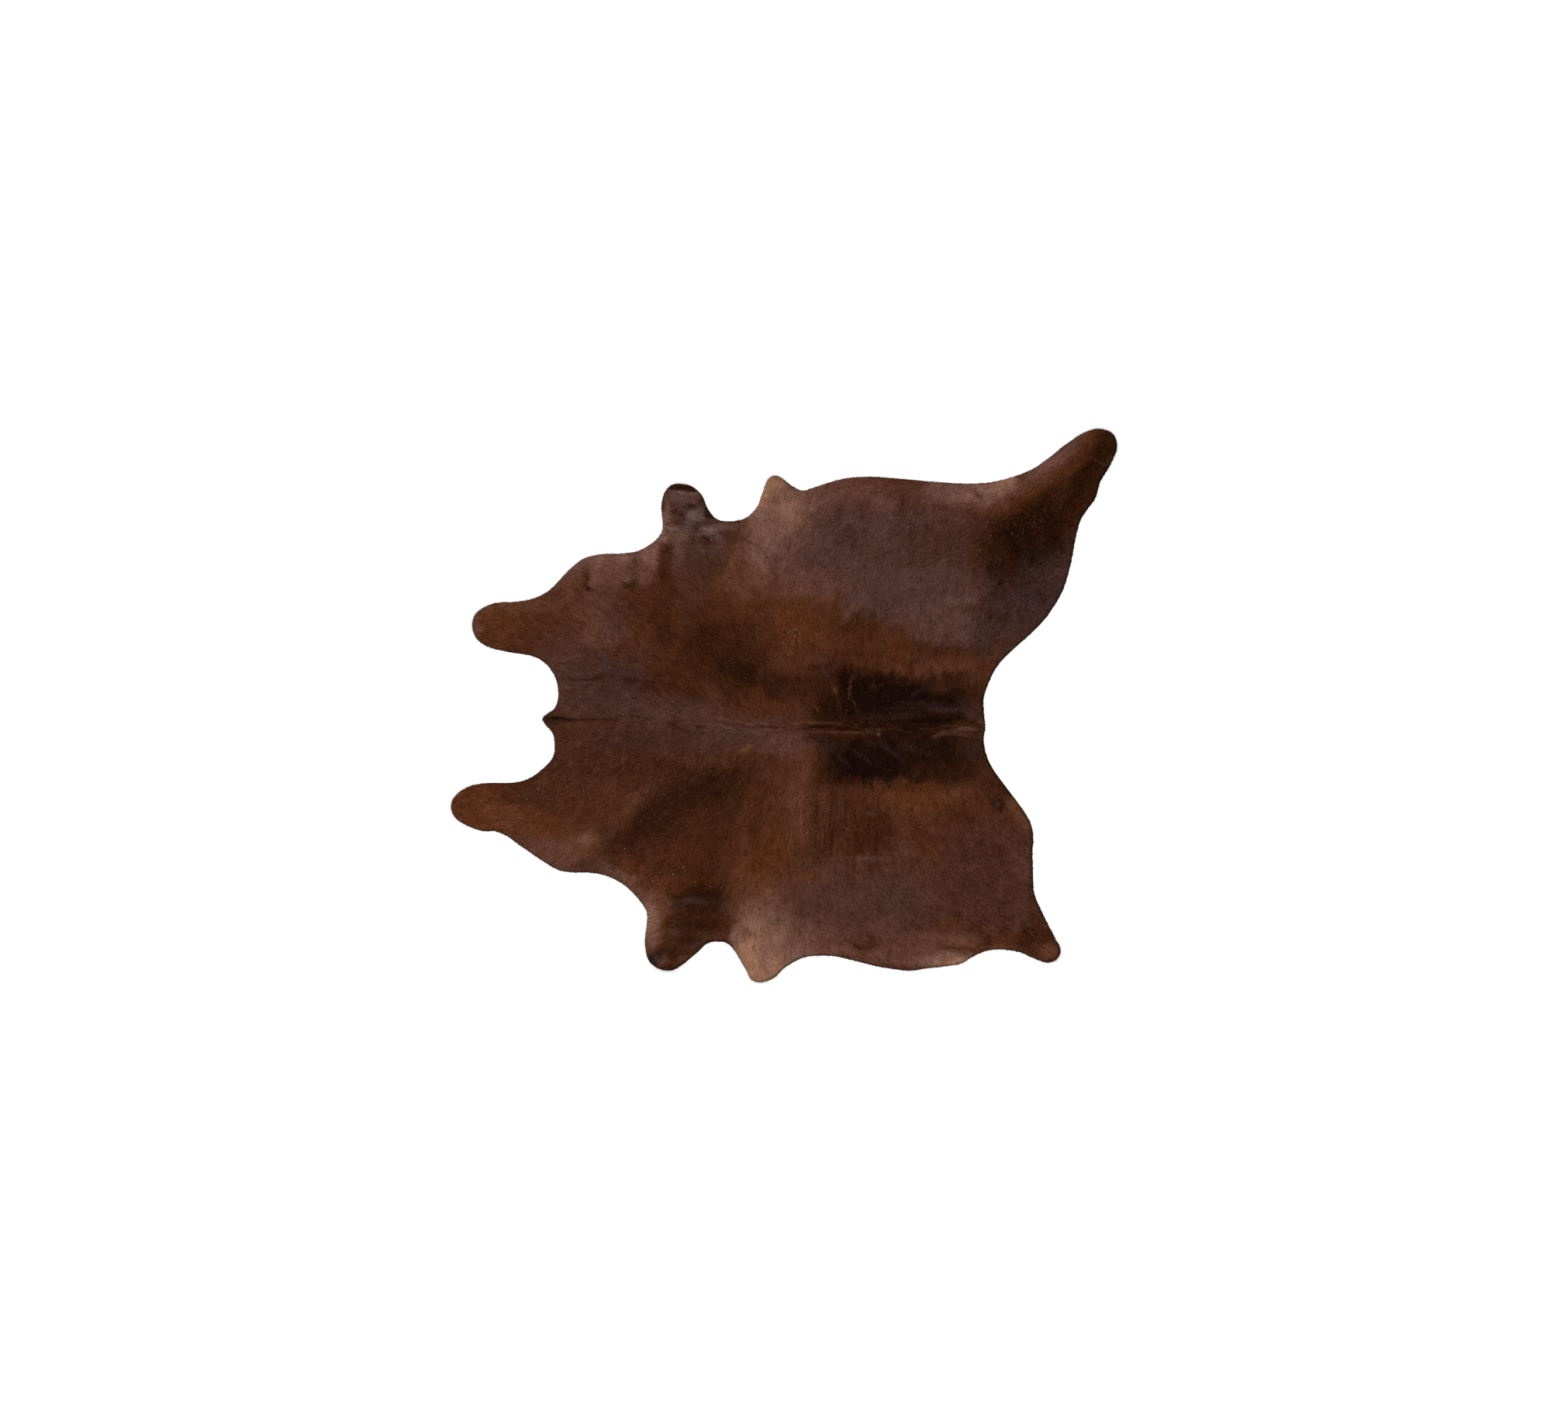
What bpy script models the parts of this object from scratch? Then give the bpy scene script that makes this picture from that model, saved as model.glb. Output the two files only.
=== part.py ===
"""Whole cow hide, tanned with the hair on and laid out flat, hair side up.

The hide is one sheet of leather cut along the belly and the insides of the legs, so its outline
has two cheeks and a nape at the head end (-X), two forelegs, two flank points, two hind legs and
a rump (+X). The spine runs along X. The animal's left side lies towards -Y.
Metres, +Z up, origin on the floor under the middle of the hide's bounding box.
"""
import bpy
import numpy as np
from mathutils import Vector
from mathutils.geometry import delaunay_2d_cdt

MM = 0.001

# Driving sizes in millimetres.
HIDE_LENGTH = 2200.0        # cheek tip to hind foot, along the spine
HIDE_WIDTH = 1828.5         # flank point to hind foot, across the spine
SHEET_THICKNESS = 3.4       # leather of 1.6 with the short coat pressed flat on it
RIM_STEP = 18.0             # spacing of the points along the cut edge
FIELD_STEP = 48.0           # spacing of the points over the flat of the hide
EDGE_CLEARANCE = 22.0       # how far the field's points stay inside the cut edge
RIDGE_STEP = 24.0           # spacing of the points along a raised ridge
RIDGE_ROWS = (-1.0, -0.45, 0.0, 0.45, 1.0)   # rows across a ridge, as shares of its half width
RIDGE_FADE = 60.0           # length over which a ridge runs out at each end
CONTACT_LEVEL = 0.05        # relief lower than this lies flat on the floor

# The cut edge, counter-clockwise seen from above, one table for each stretch of it:
# x and y in millimetres from the middle of the hide.
CUT_EDGE = {
    "nape, left half": (
        (-797, -44), (-763, -94), (-757, -132), (-763, -172), (-830, -235), (-880, -253)),
    "left cheek": (
        (-990, -257), (-1040, -268), (-1085, -299), (-1099, -335), (-1085, -371),
        (-1050, -395), (-1012, -411), (-978, -417), (-966, -414)),
    "left throat": (
        (-920, -429), (-870, -464), (-745, -544), (-700, -552), (-640, -553), (-580, -566),
        (-520, -600), (-455, -678)),
    "left foreleg": (
        (-452, -710), (-459, -785), (-450, -835), (-435, -856), (-405, -873), (-366, -875),
        (-285, -817), (-251, -786)),
    "left armpit": (
        (-225, -781), (-185, -788)),
    "left flank point": (
        (-128, -870), (-106, -908), (-75, -915), (-31, -900), (0, -870), (62, -835)),
    "left belly": (
        (110, -828), (170, -830), (310, -863), (415, -877), (470, -870), (588, -853), (605, -842)),
    "left hind leg": (
        (655, -816), (700, -807), (775, -815), (820, -834), (870, -850), (903, -837), (914, -808),
        (898, -774)),
    "left thigh": (
        (850, -678), (827, -622), (823, -560), (821, -480), (824, -440), (813, -384)),
    "rump": (
        (684, -198), (664, -145), (660, -105), (665, -78), (660, -15), (660, 22), (680, 82),
        (710, 136)),
    "right thigh": (
        (850, 271), (889, 323), (920, 378), (943, 450), (977, 605)),
    "right hind leg": (
        (1001, 645), (1029, 685), (1044, 737), (1079, 797), (1100, 860), (1085, 898),
        (1045, 914), (1000, 906)),
    "right belly": (
        (930, 863), (870, 815), (810, 776), (700, 741), (620, 733), (500, 739), (400, 748), (275, 756),
        (190, 748), (100, 721), (62, 710)),
    "right flank point": (
        (30, 724), (-25, 760), (-50, 750), (-70, 705), (-91, 652)),
    "right armpit": (
        (-135, 616), (-215, 613)),
    "right foreleg": (
        (-250, 650), (-270, 695), (-305, 725), (-335, 732), (-367, 730), (-394, 704),
        (-404, 660), (-405, 570)),
    "right throat": (
        (-475, 513), (-540, 502), (-600, 500), (-660, 486), (-710, 447), (-777, 379)),
    "right cheek": (
        (-830, 353), (-890, 342), (-945, 340), (-985, 327), (-1018, 302), (-1029, 265),
        (-1015, 222), (-975, 193), (-920, 178)),
    "nape, right half": (
        (-820, 159), (-780, 131), (-753, 87), (-745, 30), (-757, -9)),
}

# Raised ridges where the leather stands off the floor: half width and height in millimetres,
# then the line that the crest follows.
RIDGES = (
    # name, half_width, height, crest
    ("nape, right of its crease", 26, 3.5, ((-770, -18), (-690, -22), (-560, -24), (-440, -28))),
    ("nape, left of its crease", 24, 3.0, ((-780, -66), (-690, -70), (-580, -68), (-480, -64))),
    ("spine over the back", 30, 6.0, ((-290, -60), (-140, -66), (0, -80), (150, -90), (310, -92))),
    ("spine over the loin", 28, 5.5, ((300, -92), (420, -94), (520, -84), (600, -72), (652, -76))),
    ("right of the loin's crease", 26, 3.5, ((60, -46), (200, -50), (320, -52), (450, -34),
                                             (560, -22))),
    ("right shoulder fold", 24, 4.0, ((-622, 480), (-626, 430), (-634, 380))),
    ("right shoulder pleat", 30, 3.5, ((-400, 556), (-352, 530), (-338, 470))),
    ("right foreleg cuff", 15, 4.5, ((-384, 704), (-335, 694), (-274, 688))),
    ("right foreleg ripple", 20, 4.0, ((-330, 640), (-290, 626), (-262, 640))),
    ("right elbow ripple", 24, 4.5, ((-290, 586), (-240, 574), (-206, 592))),
    ("right armpit fold", 14, 3.0, ((-124, 548), (-80, 520), (-55, 484))),
    ("left foreleg cuff", 12, 4.0, ((-430, -812), (-418, -842), (-404, -868))),
    ("left foreleg ripple", 18, 3.5, ((-404, -764), (-366, -750), (-322, -752))),
    ("left foreleg end ripple", 14, 3.5, ((-366, -842), (-338, -834), (-312, -822))),
    ("left elbow ripple", 24, 3.5, ((-392, -690), (-352, -676), (-300, -672))),
    ("right flank fold", 26, 4.5, ((556, 722), (604, 704), (654, 664))),
    ("right flank fold, rear", 20, 3.5, ((660, 712), (706, 700), (752, 716))),
    ("right hind leg seam", 14, 3.0, ((1000, 822), (1030, 802), (1058, 786))),
    ("left hind leg ripple", 20, 3.0, ((800, -790), (842, -772), (872, -742))),
    ("left flank swell", 44, 2.5, ((118, -270), (132, -400), (150, -540))),
    ("left flank swell, rear", 40, 2.0, ((262, -260), (280, -380), (300, -500))),
    ("right flank swell", 44, 2.5, ((250, 170), (262, 280), (278, 400))),
)

# Ends of the hide that curl off the floor.
LIFTED_ENDS = (
    # name, x, y, reach, height
    ("left cheek", -1099, -335, 130, 5.0),
    ("right cheek", -1029, 265, 120, 4.0),
    ("nape", -797, -44, 60, 3.0),
    ("left foreleg", -400, -875, 110, 7.0),
    ("right foreleg", -335, 732, 90, 6.0),
    ("left flank point", -75, -915, 100, 5.0),
    ("right flank point", -30, 758, 90, 5.0),
    ("left hind foot", 910, -820, 120, 6.5),
    ("right hind foot", 1090, 885, 150, 8.0),
)


def spaced(line, step, closed=False):
    """Points at an even spacing close to `step` along a line of points."""
    if closed:
        line = np.vstack([line, line[:1]])
    travel = np.concatenate([[0.0], np.cumsum(np.linalg.norm(np.diff(line, axis=0), axis=1))])
    count = max(2, int(round(travel[-1] / step)))
    at = np.linspace(0.0, travel[-1], count, endpoint=False) if closed else \
        np.linspace(0.0, travel[-1], count + 1)
    return np.column_stack([np.interp(at, travel, line[:, axis]) for axis in (0, 1)])


def closed_curve(points, steps=14):
    """Centripetal Catmull-Rom curve through the points: smooth, with no loops or overshoot."""
    curve = []
    for i in range(len(points)):
        a, b, c, d = (points[(i + k) % len(points)] for k in (-1, 0, 1, 2))
        t1 = np.sqrt(np.linalg.norm(b - a))
        t2 = t1 + np.sqrt(np.linalg.norm(c - b))
        t3 = t2 + np.sqrt(np.linalg.norm(d - c))
        for t in np.linspace(t1, t2, steps, endpoint=False):
            ab = a + (b - a) * t / t1
            bc = b + (c - b) * (t - t1) / (t2 - t1)
            cd = c + (d - c) * (t - t2) / (t3 - t2)
            abc = ab + (bc - ab) * t / t2
            bcd = bc + (cd - bc) * (t - t1) / (t3 - t1)
            curve.append(abc + (bcd - abc) * (t - t1) / (t2 - t1))
    return np.array(curve)


def cut_edge():
    """The edge of the hide in millimetres, fitted to the driving length and width."""
    landmarks = np.array([point for stretch in CUT_EDGE.values() for point in stretch], float)
    edge = spaced(closed_curve(landmarks), RIM_STEP, closed=True)
    low, high = edge.min(axis=0), edge.max(axis=0)
    return (edge - (low + high) / 2) * (HIDE_LENGTH, HIDE_WIDTH) / (high - low)


def smooth_step(share):
    share = np.clip(share, 0.0, 1.0)
    return share * share * (3.0 - 2.0 * share)


def ridge_relief(places, half_width, height, crest):
    """Height of one ridge at each place: rounded across, running out at both ends."""
    crest = np.array(crest, float)
    nearest = np.full(len(places), np.inf)
    travel = np.zeros(len(places))
    start = 0.0
    for a, b in zip(crest[:-1], crest[1:]):
        length = np.linalg.norm(b - a)
        share = np.clip((places - a) @ (b - a) / length ** 2, 0.0, 1.0)
        distance = np.linalg.norm(places - a - share[:, None] * (b - a), axis=1)
        closer = distance < nearest
        nearest[closer] = distance[closer]
        travel[closer] = start + share[closer] * length
        start += length
    across = np.clip(1.0 - (nearest / half_width) ** 2, 0.0, 1.0) ** 2
    fade = min(RIDGE_FADE, start / 2.5)
    along = smooth_step(np.minimum(travel, start - travel) / fade)
    return height * across * along


def relief(places):
    """How far the underside of the leather stands off the floor, in millimetres."""
    total = np.zeros(len(places))
    for _, half_width, height, crest in RIDGES:
        total += ridge_relief(places, half_width, height, crest)
    for _, x, y, reach, height in LIFTED_ENDS:
        distance = np.linalg.norm(places - (x, y), axis=1)
        total += height * smooth_step(1.0 - distance / reach)
    return np.maximum(total - CONTACT_LEVEL, 0.0)


def inside(places, edge):
    """Which places lie inside the closed edge."""
    result = np.zeros(len(places), bool)
    for (x0, y0), (x1, y1) in zip(edge, np.roll(edge, -1, axis=0)):
        if y0 == y1:
            continue
        crosses = (y0 > places[:, 1]) != (y1 > places[:, 1])
        crossing = x0 + (places[:, 1] - y0) * (x1 - x0) / (y1 - y0)
        result ^= crosses & (places[:, 0] < crossing)
    return result


def apart(places, others, distance):
    """The places that keep at least this distance from all the others."""
    if not len(others):
        return places
    gaps = np.linalg.norm(places[:, None, :] - others[None, :, :], axis=2)
    return places[gaps.min(axis=1) >= distance]


def ridge_points(edge):
    """Rows of points along every ridge, so that its crest and feet fall on edges of the mesh."""
    kept = np.empty((0, 2))
    for _, half_width, _, crest in RIDGES:
        line = spaced(np.array(crest, float), RIDGE_STEP)
        heading = np.gradient(line, axis=0)
        heading /= np.linalg.norm(heading, axis=1)[:, None]
        side = np.column_stack([-heading[:, 1], heading[:, 0]])
        rows = np.vstack([line + side * half_width * row for row in RIDGE_ROWS])
        rows = rows[inside(rows, edge)]
        rows = apart(rows, edge, 0.35 * RIM_STEP)
        kept = np.vstack([kept, apart(rows, kept, 0.25 * RIDGE_STEP)])
    return kept


def field_points(edge, taken):
    """Even triangular spacing over the rest of the hide."""
    row_height = FIELD_STEP * np.sqrt(3.0) / 2.0
    rows = np.arange(-HIDE_WIDTH / 2, HIDE_WIDTH / 2, row_height)
    grid = np.array([(x + FIELD_STEP / 2 * (number % 2), y) for number, y in enumerate(rows)
                     for x in np.arange(-HIDE_LENGTH / 2, HIDE_LENGTH / 2, FIELD_STEP)])
    grid = grid[inside(grid, edge)]
    grid = apart(grid, edge, EDGE_CLEARANCE)
    return apart(grid, taken, 0.5 * FIELD_STEP)


def hide_leather():
    """Brown hair on tanned skin: dark chestnut, with little gloss."""
    material = bpy.data.materials.new("hair_on_leather")
    material.use_nodes = True
    shader = material.node_tree.nodes["Principled BSDF"]
    shader.inputs["Base Color"].default_value = (0.075, 0.032, 0.018, 1.0)
    shader.inputs["Roughness"].default_value = 0.62
    shader.inputs["Metallic"].default_value = 0.0
    return material


def build_hide():
    """The leather as one closed sheet that follows its ridges at an even thickness."""
    edge = cut_edge()
    crests = ridge_points(edge)
    places = np.vstack([edge, crests, field_points(edge, crests)])
    rim = len(edge)
    rim_loop = [(i, (i + 1) % rim) for i in range(rim)]
    flat, _, faces, *_ = delaunay_2d_cdt([Vector(place) for place in places], rim_loop, [], 1, 1e-4)
    if len(flat) != len(places):
        raise RuntimeError("two points of the hide fall together")
    under = relief(places)
    bottom = np.column_stack([places, under])
    top = np.column_stack([places, under + SHEET_THICKNESS])
    count = len(places)
    sheet = [tuple(face) for face in faces]
    sheet = [face if turns_left(places, face) else face[::-1] for face in sheet]
    top_faces = [tuple(i + count for i in face) for face in sheet]
    bottom_faces = [face[::-1] for face in sheet]
    rim_faces = [(a, b, b + count, a + count) for a, b in rim_loop]
    mesh = bpy.data.meshes.new("hide")
    vertices = np.vstack([bottom, top]) * MM
    mesh.from_pydata(vertices.tolist(), [], bottom_faces + top_faces + rim_faces)
    mesh.validate()
    mesh.shade_smooth()
    mesh.set_sharp_from_angle(angle=np.radians(40.0))
    mesh.materials.append(hide_leather())
    hide = bpy.data.objects.new("hide", mesh)
    bpy.context.scene.collection.objects.link(hide)
    return hide


def turns_left(places, face):
    a, b, c = places[list(face[:3])]
    return (b[0] - a[0]) * (c[1] - a[1]) - (b[1] - a[1]) * (c[0] - a[0]) > 0.0


for old in list(bpy.data.objects):
    bpy.data.objects.remove(old)

build_hide()
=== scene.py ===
import bpy
import numpy as np
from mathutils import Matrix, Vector
from mathutils.bvhtree import BVHTree
from mathutils.geometry import delaunay_2d_cdt
from mathutils.kdtree import KDTree


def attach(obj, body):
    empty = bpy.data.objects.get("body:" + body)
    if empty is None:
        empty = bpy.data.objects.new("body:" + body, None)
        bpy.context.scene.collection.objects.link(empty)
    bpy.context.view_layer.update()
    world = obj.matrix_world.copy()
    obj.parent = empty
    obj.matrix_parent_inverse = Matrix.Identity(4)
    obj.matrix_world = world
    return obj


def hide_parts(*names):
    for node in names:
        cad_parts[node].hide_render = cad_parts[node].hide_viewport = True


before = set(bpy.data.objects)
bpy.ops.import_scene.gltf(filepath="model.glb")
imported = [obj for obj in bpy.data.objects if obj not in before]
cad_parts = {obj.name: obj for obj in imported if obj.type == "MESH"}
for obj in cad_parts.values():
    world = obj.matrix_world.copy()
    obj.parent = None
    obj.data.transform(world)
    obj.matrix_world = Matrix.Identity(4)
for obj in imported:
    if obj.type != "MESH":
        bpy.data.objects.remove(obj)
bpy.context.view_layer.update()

# ----------------------------------------------------------------------------------------------
# The skin
# One whole cattle skin, tanned with its hair left on, shaved on the flesh side to an even thickness
# and trimmed with a knife round the cheeks, forelegs, flanks and hind legs. The hair side carries a
# dense mat of underhair, and the flesh side is buffed to a suede.
MM = 0.001
LEATHER = 1.6 * MM
UNDERHAIR = 0.4 * MM
FAR_UP = 1.0
DOWN = Vector((0, 0, -1))
WELD_DIGITS = 6
FACING_UP = 0.5

cad_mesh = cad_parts["hide"].data
cad_points = np.array([point.co for point in cad_mesh.vertices])
rounded = np.round(cad_points, WELD_DIGITS)
_, first, welded = np.unique(rounded, axis=0, return_index=True, return_inverse=True)
cad_points = cad_points[first]
cad_faces = welded.ravel()[[list(face.vertices) for face in cad_mesh.polygons]]
upper_faces = cad_faces[[face.normal.z > FACING_UP for face in cad_mesh.polygons]]
cad_thickness = cad_points[upper_faces, 2].min()
cad_tree = BVHTree.FromPolygons([Vector(point) for point in cad_points], cad_faces.tolist())


def drop(tree, x, y):
    """Height of the surface under each place, and nan where there is none."""
    hits = [tree.ray_cast((a, b, FAR_UP), DOWN)[0] for a, b in zip(x, y)]
    return np.array([np.nan if hit is None else hit.z for hit in hits])


def smooth_loop(line, step):
    """A smooth closed curve through the points, in steps of about this length."""
    curve = []
    for i in range(len(line)):
        a, b, c, d = (line[(i + k) % len(line)] for k in (-1, 0, 1, 2))
        count = round(np.linalg.norm(c - b) / step)
        for t in np.arange(count) / count:
            curve.append(b + 0.5 * t * (c - a + t * (2 * a - 5 * b + 4 * c - d + t * (3 * (b - c) + d - a))))
    return np.array(curve)


# The rim is the upper faces' outline, drawn in a little for the hair that stands past it.
TRIM = 0.7 * MM
RIM_STEP = 5 * MM
sides = {(a, b) for face in upper_faces.tolist() for a, b in zip(face, face[1:] + face[:1])}
onward = {a: b for a, b in sides if (b, a) not in sides}
around = [min(onward)]
while onward[around[-1]] != around[0]:
    around.append(onward[around[-1]])
rim = smooth_loop(cad_points[around], RIM_STEP)
rim_way = np.roll(rim, -1, axis=0) - np.roll(rim, 1, axis=0)
rim_out = np.stack((rim_way[:, 1], -rim_way[:, 0]), 1) / np.hypot(*rim_way[:, :2].T)[:, None]
rim[:, :2] -= TRIM * rim_out
rim_tree = KDTree(len(rim))
for i, (x, y, _) in enumerate(rim):
    rim_tree.insert((x, y, 0), i)
rim_tree.balance()

# Rows of points lie ROW_RISE of a step apart and keep RIM_CLEARANCE of a step off the rim.
ROW_RISE = 0.866
RIM_CLEARANCE = 0.6
SAME_PLACE = 1e-6


def filled_rim(step):
    """Points and triangles of the hide's area: the rim first, then rows of points this far apart."""
    rows = np.arange(rim[:, 1].min(), rim[:, 1].max(), step * ROW_RISE)
    field = np.array([(x + step / 2 * (row % 2), y) for row, y in enumerate(rows)
                      for x in np.arange(rim[:, 0].min(), rim[:, 0].max(), step)])
    height = drop(cad_tree, *field.T)
    clear = [rim_tree.find((x, y, 0))[2] > RIM_CLEARANCE * step for x, y in field]
    kept = ~np.isnan(height) & clear
    points = np.vstack((rim, np.column_stack((field, height))[kept]))
    count = len(rim)
    rim_edges = [(i, (i + 1) % count) for i in range(count)]
    flat = [Vector(point) for point in points[:, :2]]
    faces = np.array(delaunay_2d_cdt(flat, rim_edges, [], 1, SAME_PLACE)[2])
    a, b, c = (points[faces[:, k], :2] for k in range(3))
    clockwise = np.cross(b - a, c - a) < 0
    faces[clockwise] = faces[clockwise, ::-1]
    return points, faces


def smooth_step(share):
    """Eases from 0 to 1 as the share goes from 0 to 1."""
    share = np.clip(share, 0.0, 1.0)
    return share * share * (3.0 - 2.0 * share)


KNOTS = 128


def soft_noise(x, y, spread, seed):
    """Smooth noise from -1 to 1 with bumps about `spread` apart."""
    knots = np.random.default_rng(seed).uniform(-1.0, 1.0, (KNOTS, KNOTS))
    column, row = np.floor(x / spread).astype(int), np.floor(y / spread).astype(int)
    across, up = smooth_step(x / spread - column), smooth_step(y / spread - row)
    left, right = column % KNOTS, (column + 1) % KNOTS
    lower, upper = (knots[left, level % KNOTS] * (1 - across) + knots[right, level % KNOTS] * across
                    for level in (row, row + 1))
    return lower * (1 - up) + upper * up


def placed(name, data):
    """A new object in the scene that shows this mesh, lamp or camera."""
    thing = bpy.data.objects.new(name, data)
    bpy.context.scene.collection.objects.link(thing)
    return thing


# The hair side cockles a little, as a dried skin does, and the flesh side stays flat on the floor.
HAIR_SIDE_STEP = 9 * MM
FLESH_SIDE_STEP = 30 * MM
COCKLE = 0.35 * MM
COCKLE_SPREAD = 55 * MM
HAIR_SIDE, CUT_EDGE, FLESH_SIDE = 0, 1, 2
SHARP_TURN = 60
hair_points, hair_faces = filled_rim(HAIR_SIDE_STEP)
flesh_points, flesh_faces = filled_rim(FLESH_SIDE_STEP)
flesh_points[:, 2] -= cad_thickness
hair_points[:, 2] += LEATHER + UNDERHAIR - cad_thickness
hair_points[:, 2] += COCKLE * soft_noise(hair_points[:, 0], hair_points[:, 1], COCKLE_SPREAD, seed=11)
below = np.arange(len(rim)) + len(hair_points)
wall_faces = np.stack((below, np.roll(below, -1), np.roll(below, -1) - len(hair_points),
                       below - len(hair_points)), 1)
skin_points = np.vstack((hair_points, flesh_points))
skin_mesh = bpy.data.meshes.new("hide_skin")
skin_mesh.from_pydata(skin_points.tolist(), [], hair_faces.tolist() + wall_faces.tolist()
                      + (flesh_faces[:, ::-1] + len(hair_points)).tolist())
face_side = np.repeat((HAIR_SIDE, CUT_EDGE, FLESH_SIDE), (len(hair_faces), len(wall_faces), len(flesh_faces)))
skin_mesh.polygons.foreach_set("material_index", face_side)
skin_mesh.polygons.foreach_set("use_smooth", np.ones(len(face_side), bool))
skin_mesh.set_sharp_from_angle(angle=np.radians(SHARP_TURN))
skin = placed("hide_skin", skin_mesh)

# The coat's tones as they look in even light, in sRGB. Mauve, slate and ash are partly the hair's own colour
# and partly painted sheen: the lilac shine of hair that lies towards the light.
TONES = {
    "russet": (91, 49, 27),
    "chestnut": (78, 42, 24),
    "bay": (72, 41, 27),
    "walnut": (64, 36, 23),
    "mahogany": (59, 31, 17),
    "umber": (44, 23, 13),
    "peat": (32, 17, 9),
    "sable": (24, 14, 11),
    "cocoa": (63, 42, 36),
    "mauve": (76, 52, 47),
    "plum": (68, 41, 34),
    "rosewood": (97, 65, 54),
    "cinnamon": (98, 61, 45),
    "hazel": (75, 47, 36),
    "fawn": (132, 95, 77),
    "sand": (154, 112, 88),
    "straw": (150, 114, 92),
    "tan": (140, 88, 54),
    "ochre": (112, 74, 30),
    "chalk": (184, 168, 156),
    "blush": (116, 84, 71),
    "rust": (104, 58, 32),
    "slate": (56, 39, 38),
    "ash": (98, 74, 68),
}
# Tints that darken or lighten whatever lies under them: the dark one makes dark mottles and the painted
# shade in fine creases, and the lilac one is painted sheen.
TINTS = {
    "grime": np.array((0.50, 0.45, 0.42)),
    "bloom": np.array((1.35, 1.55, 1.80)),
}

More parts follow.
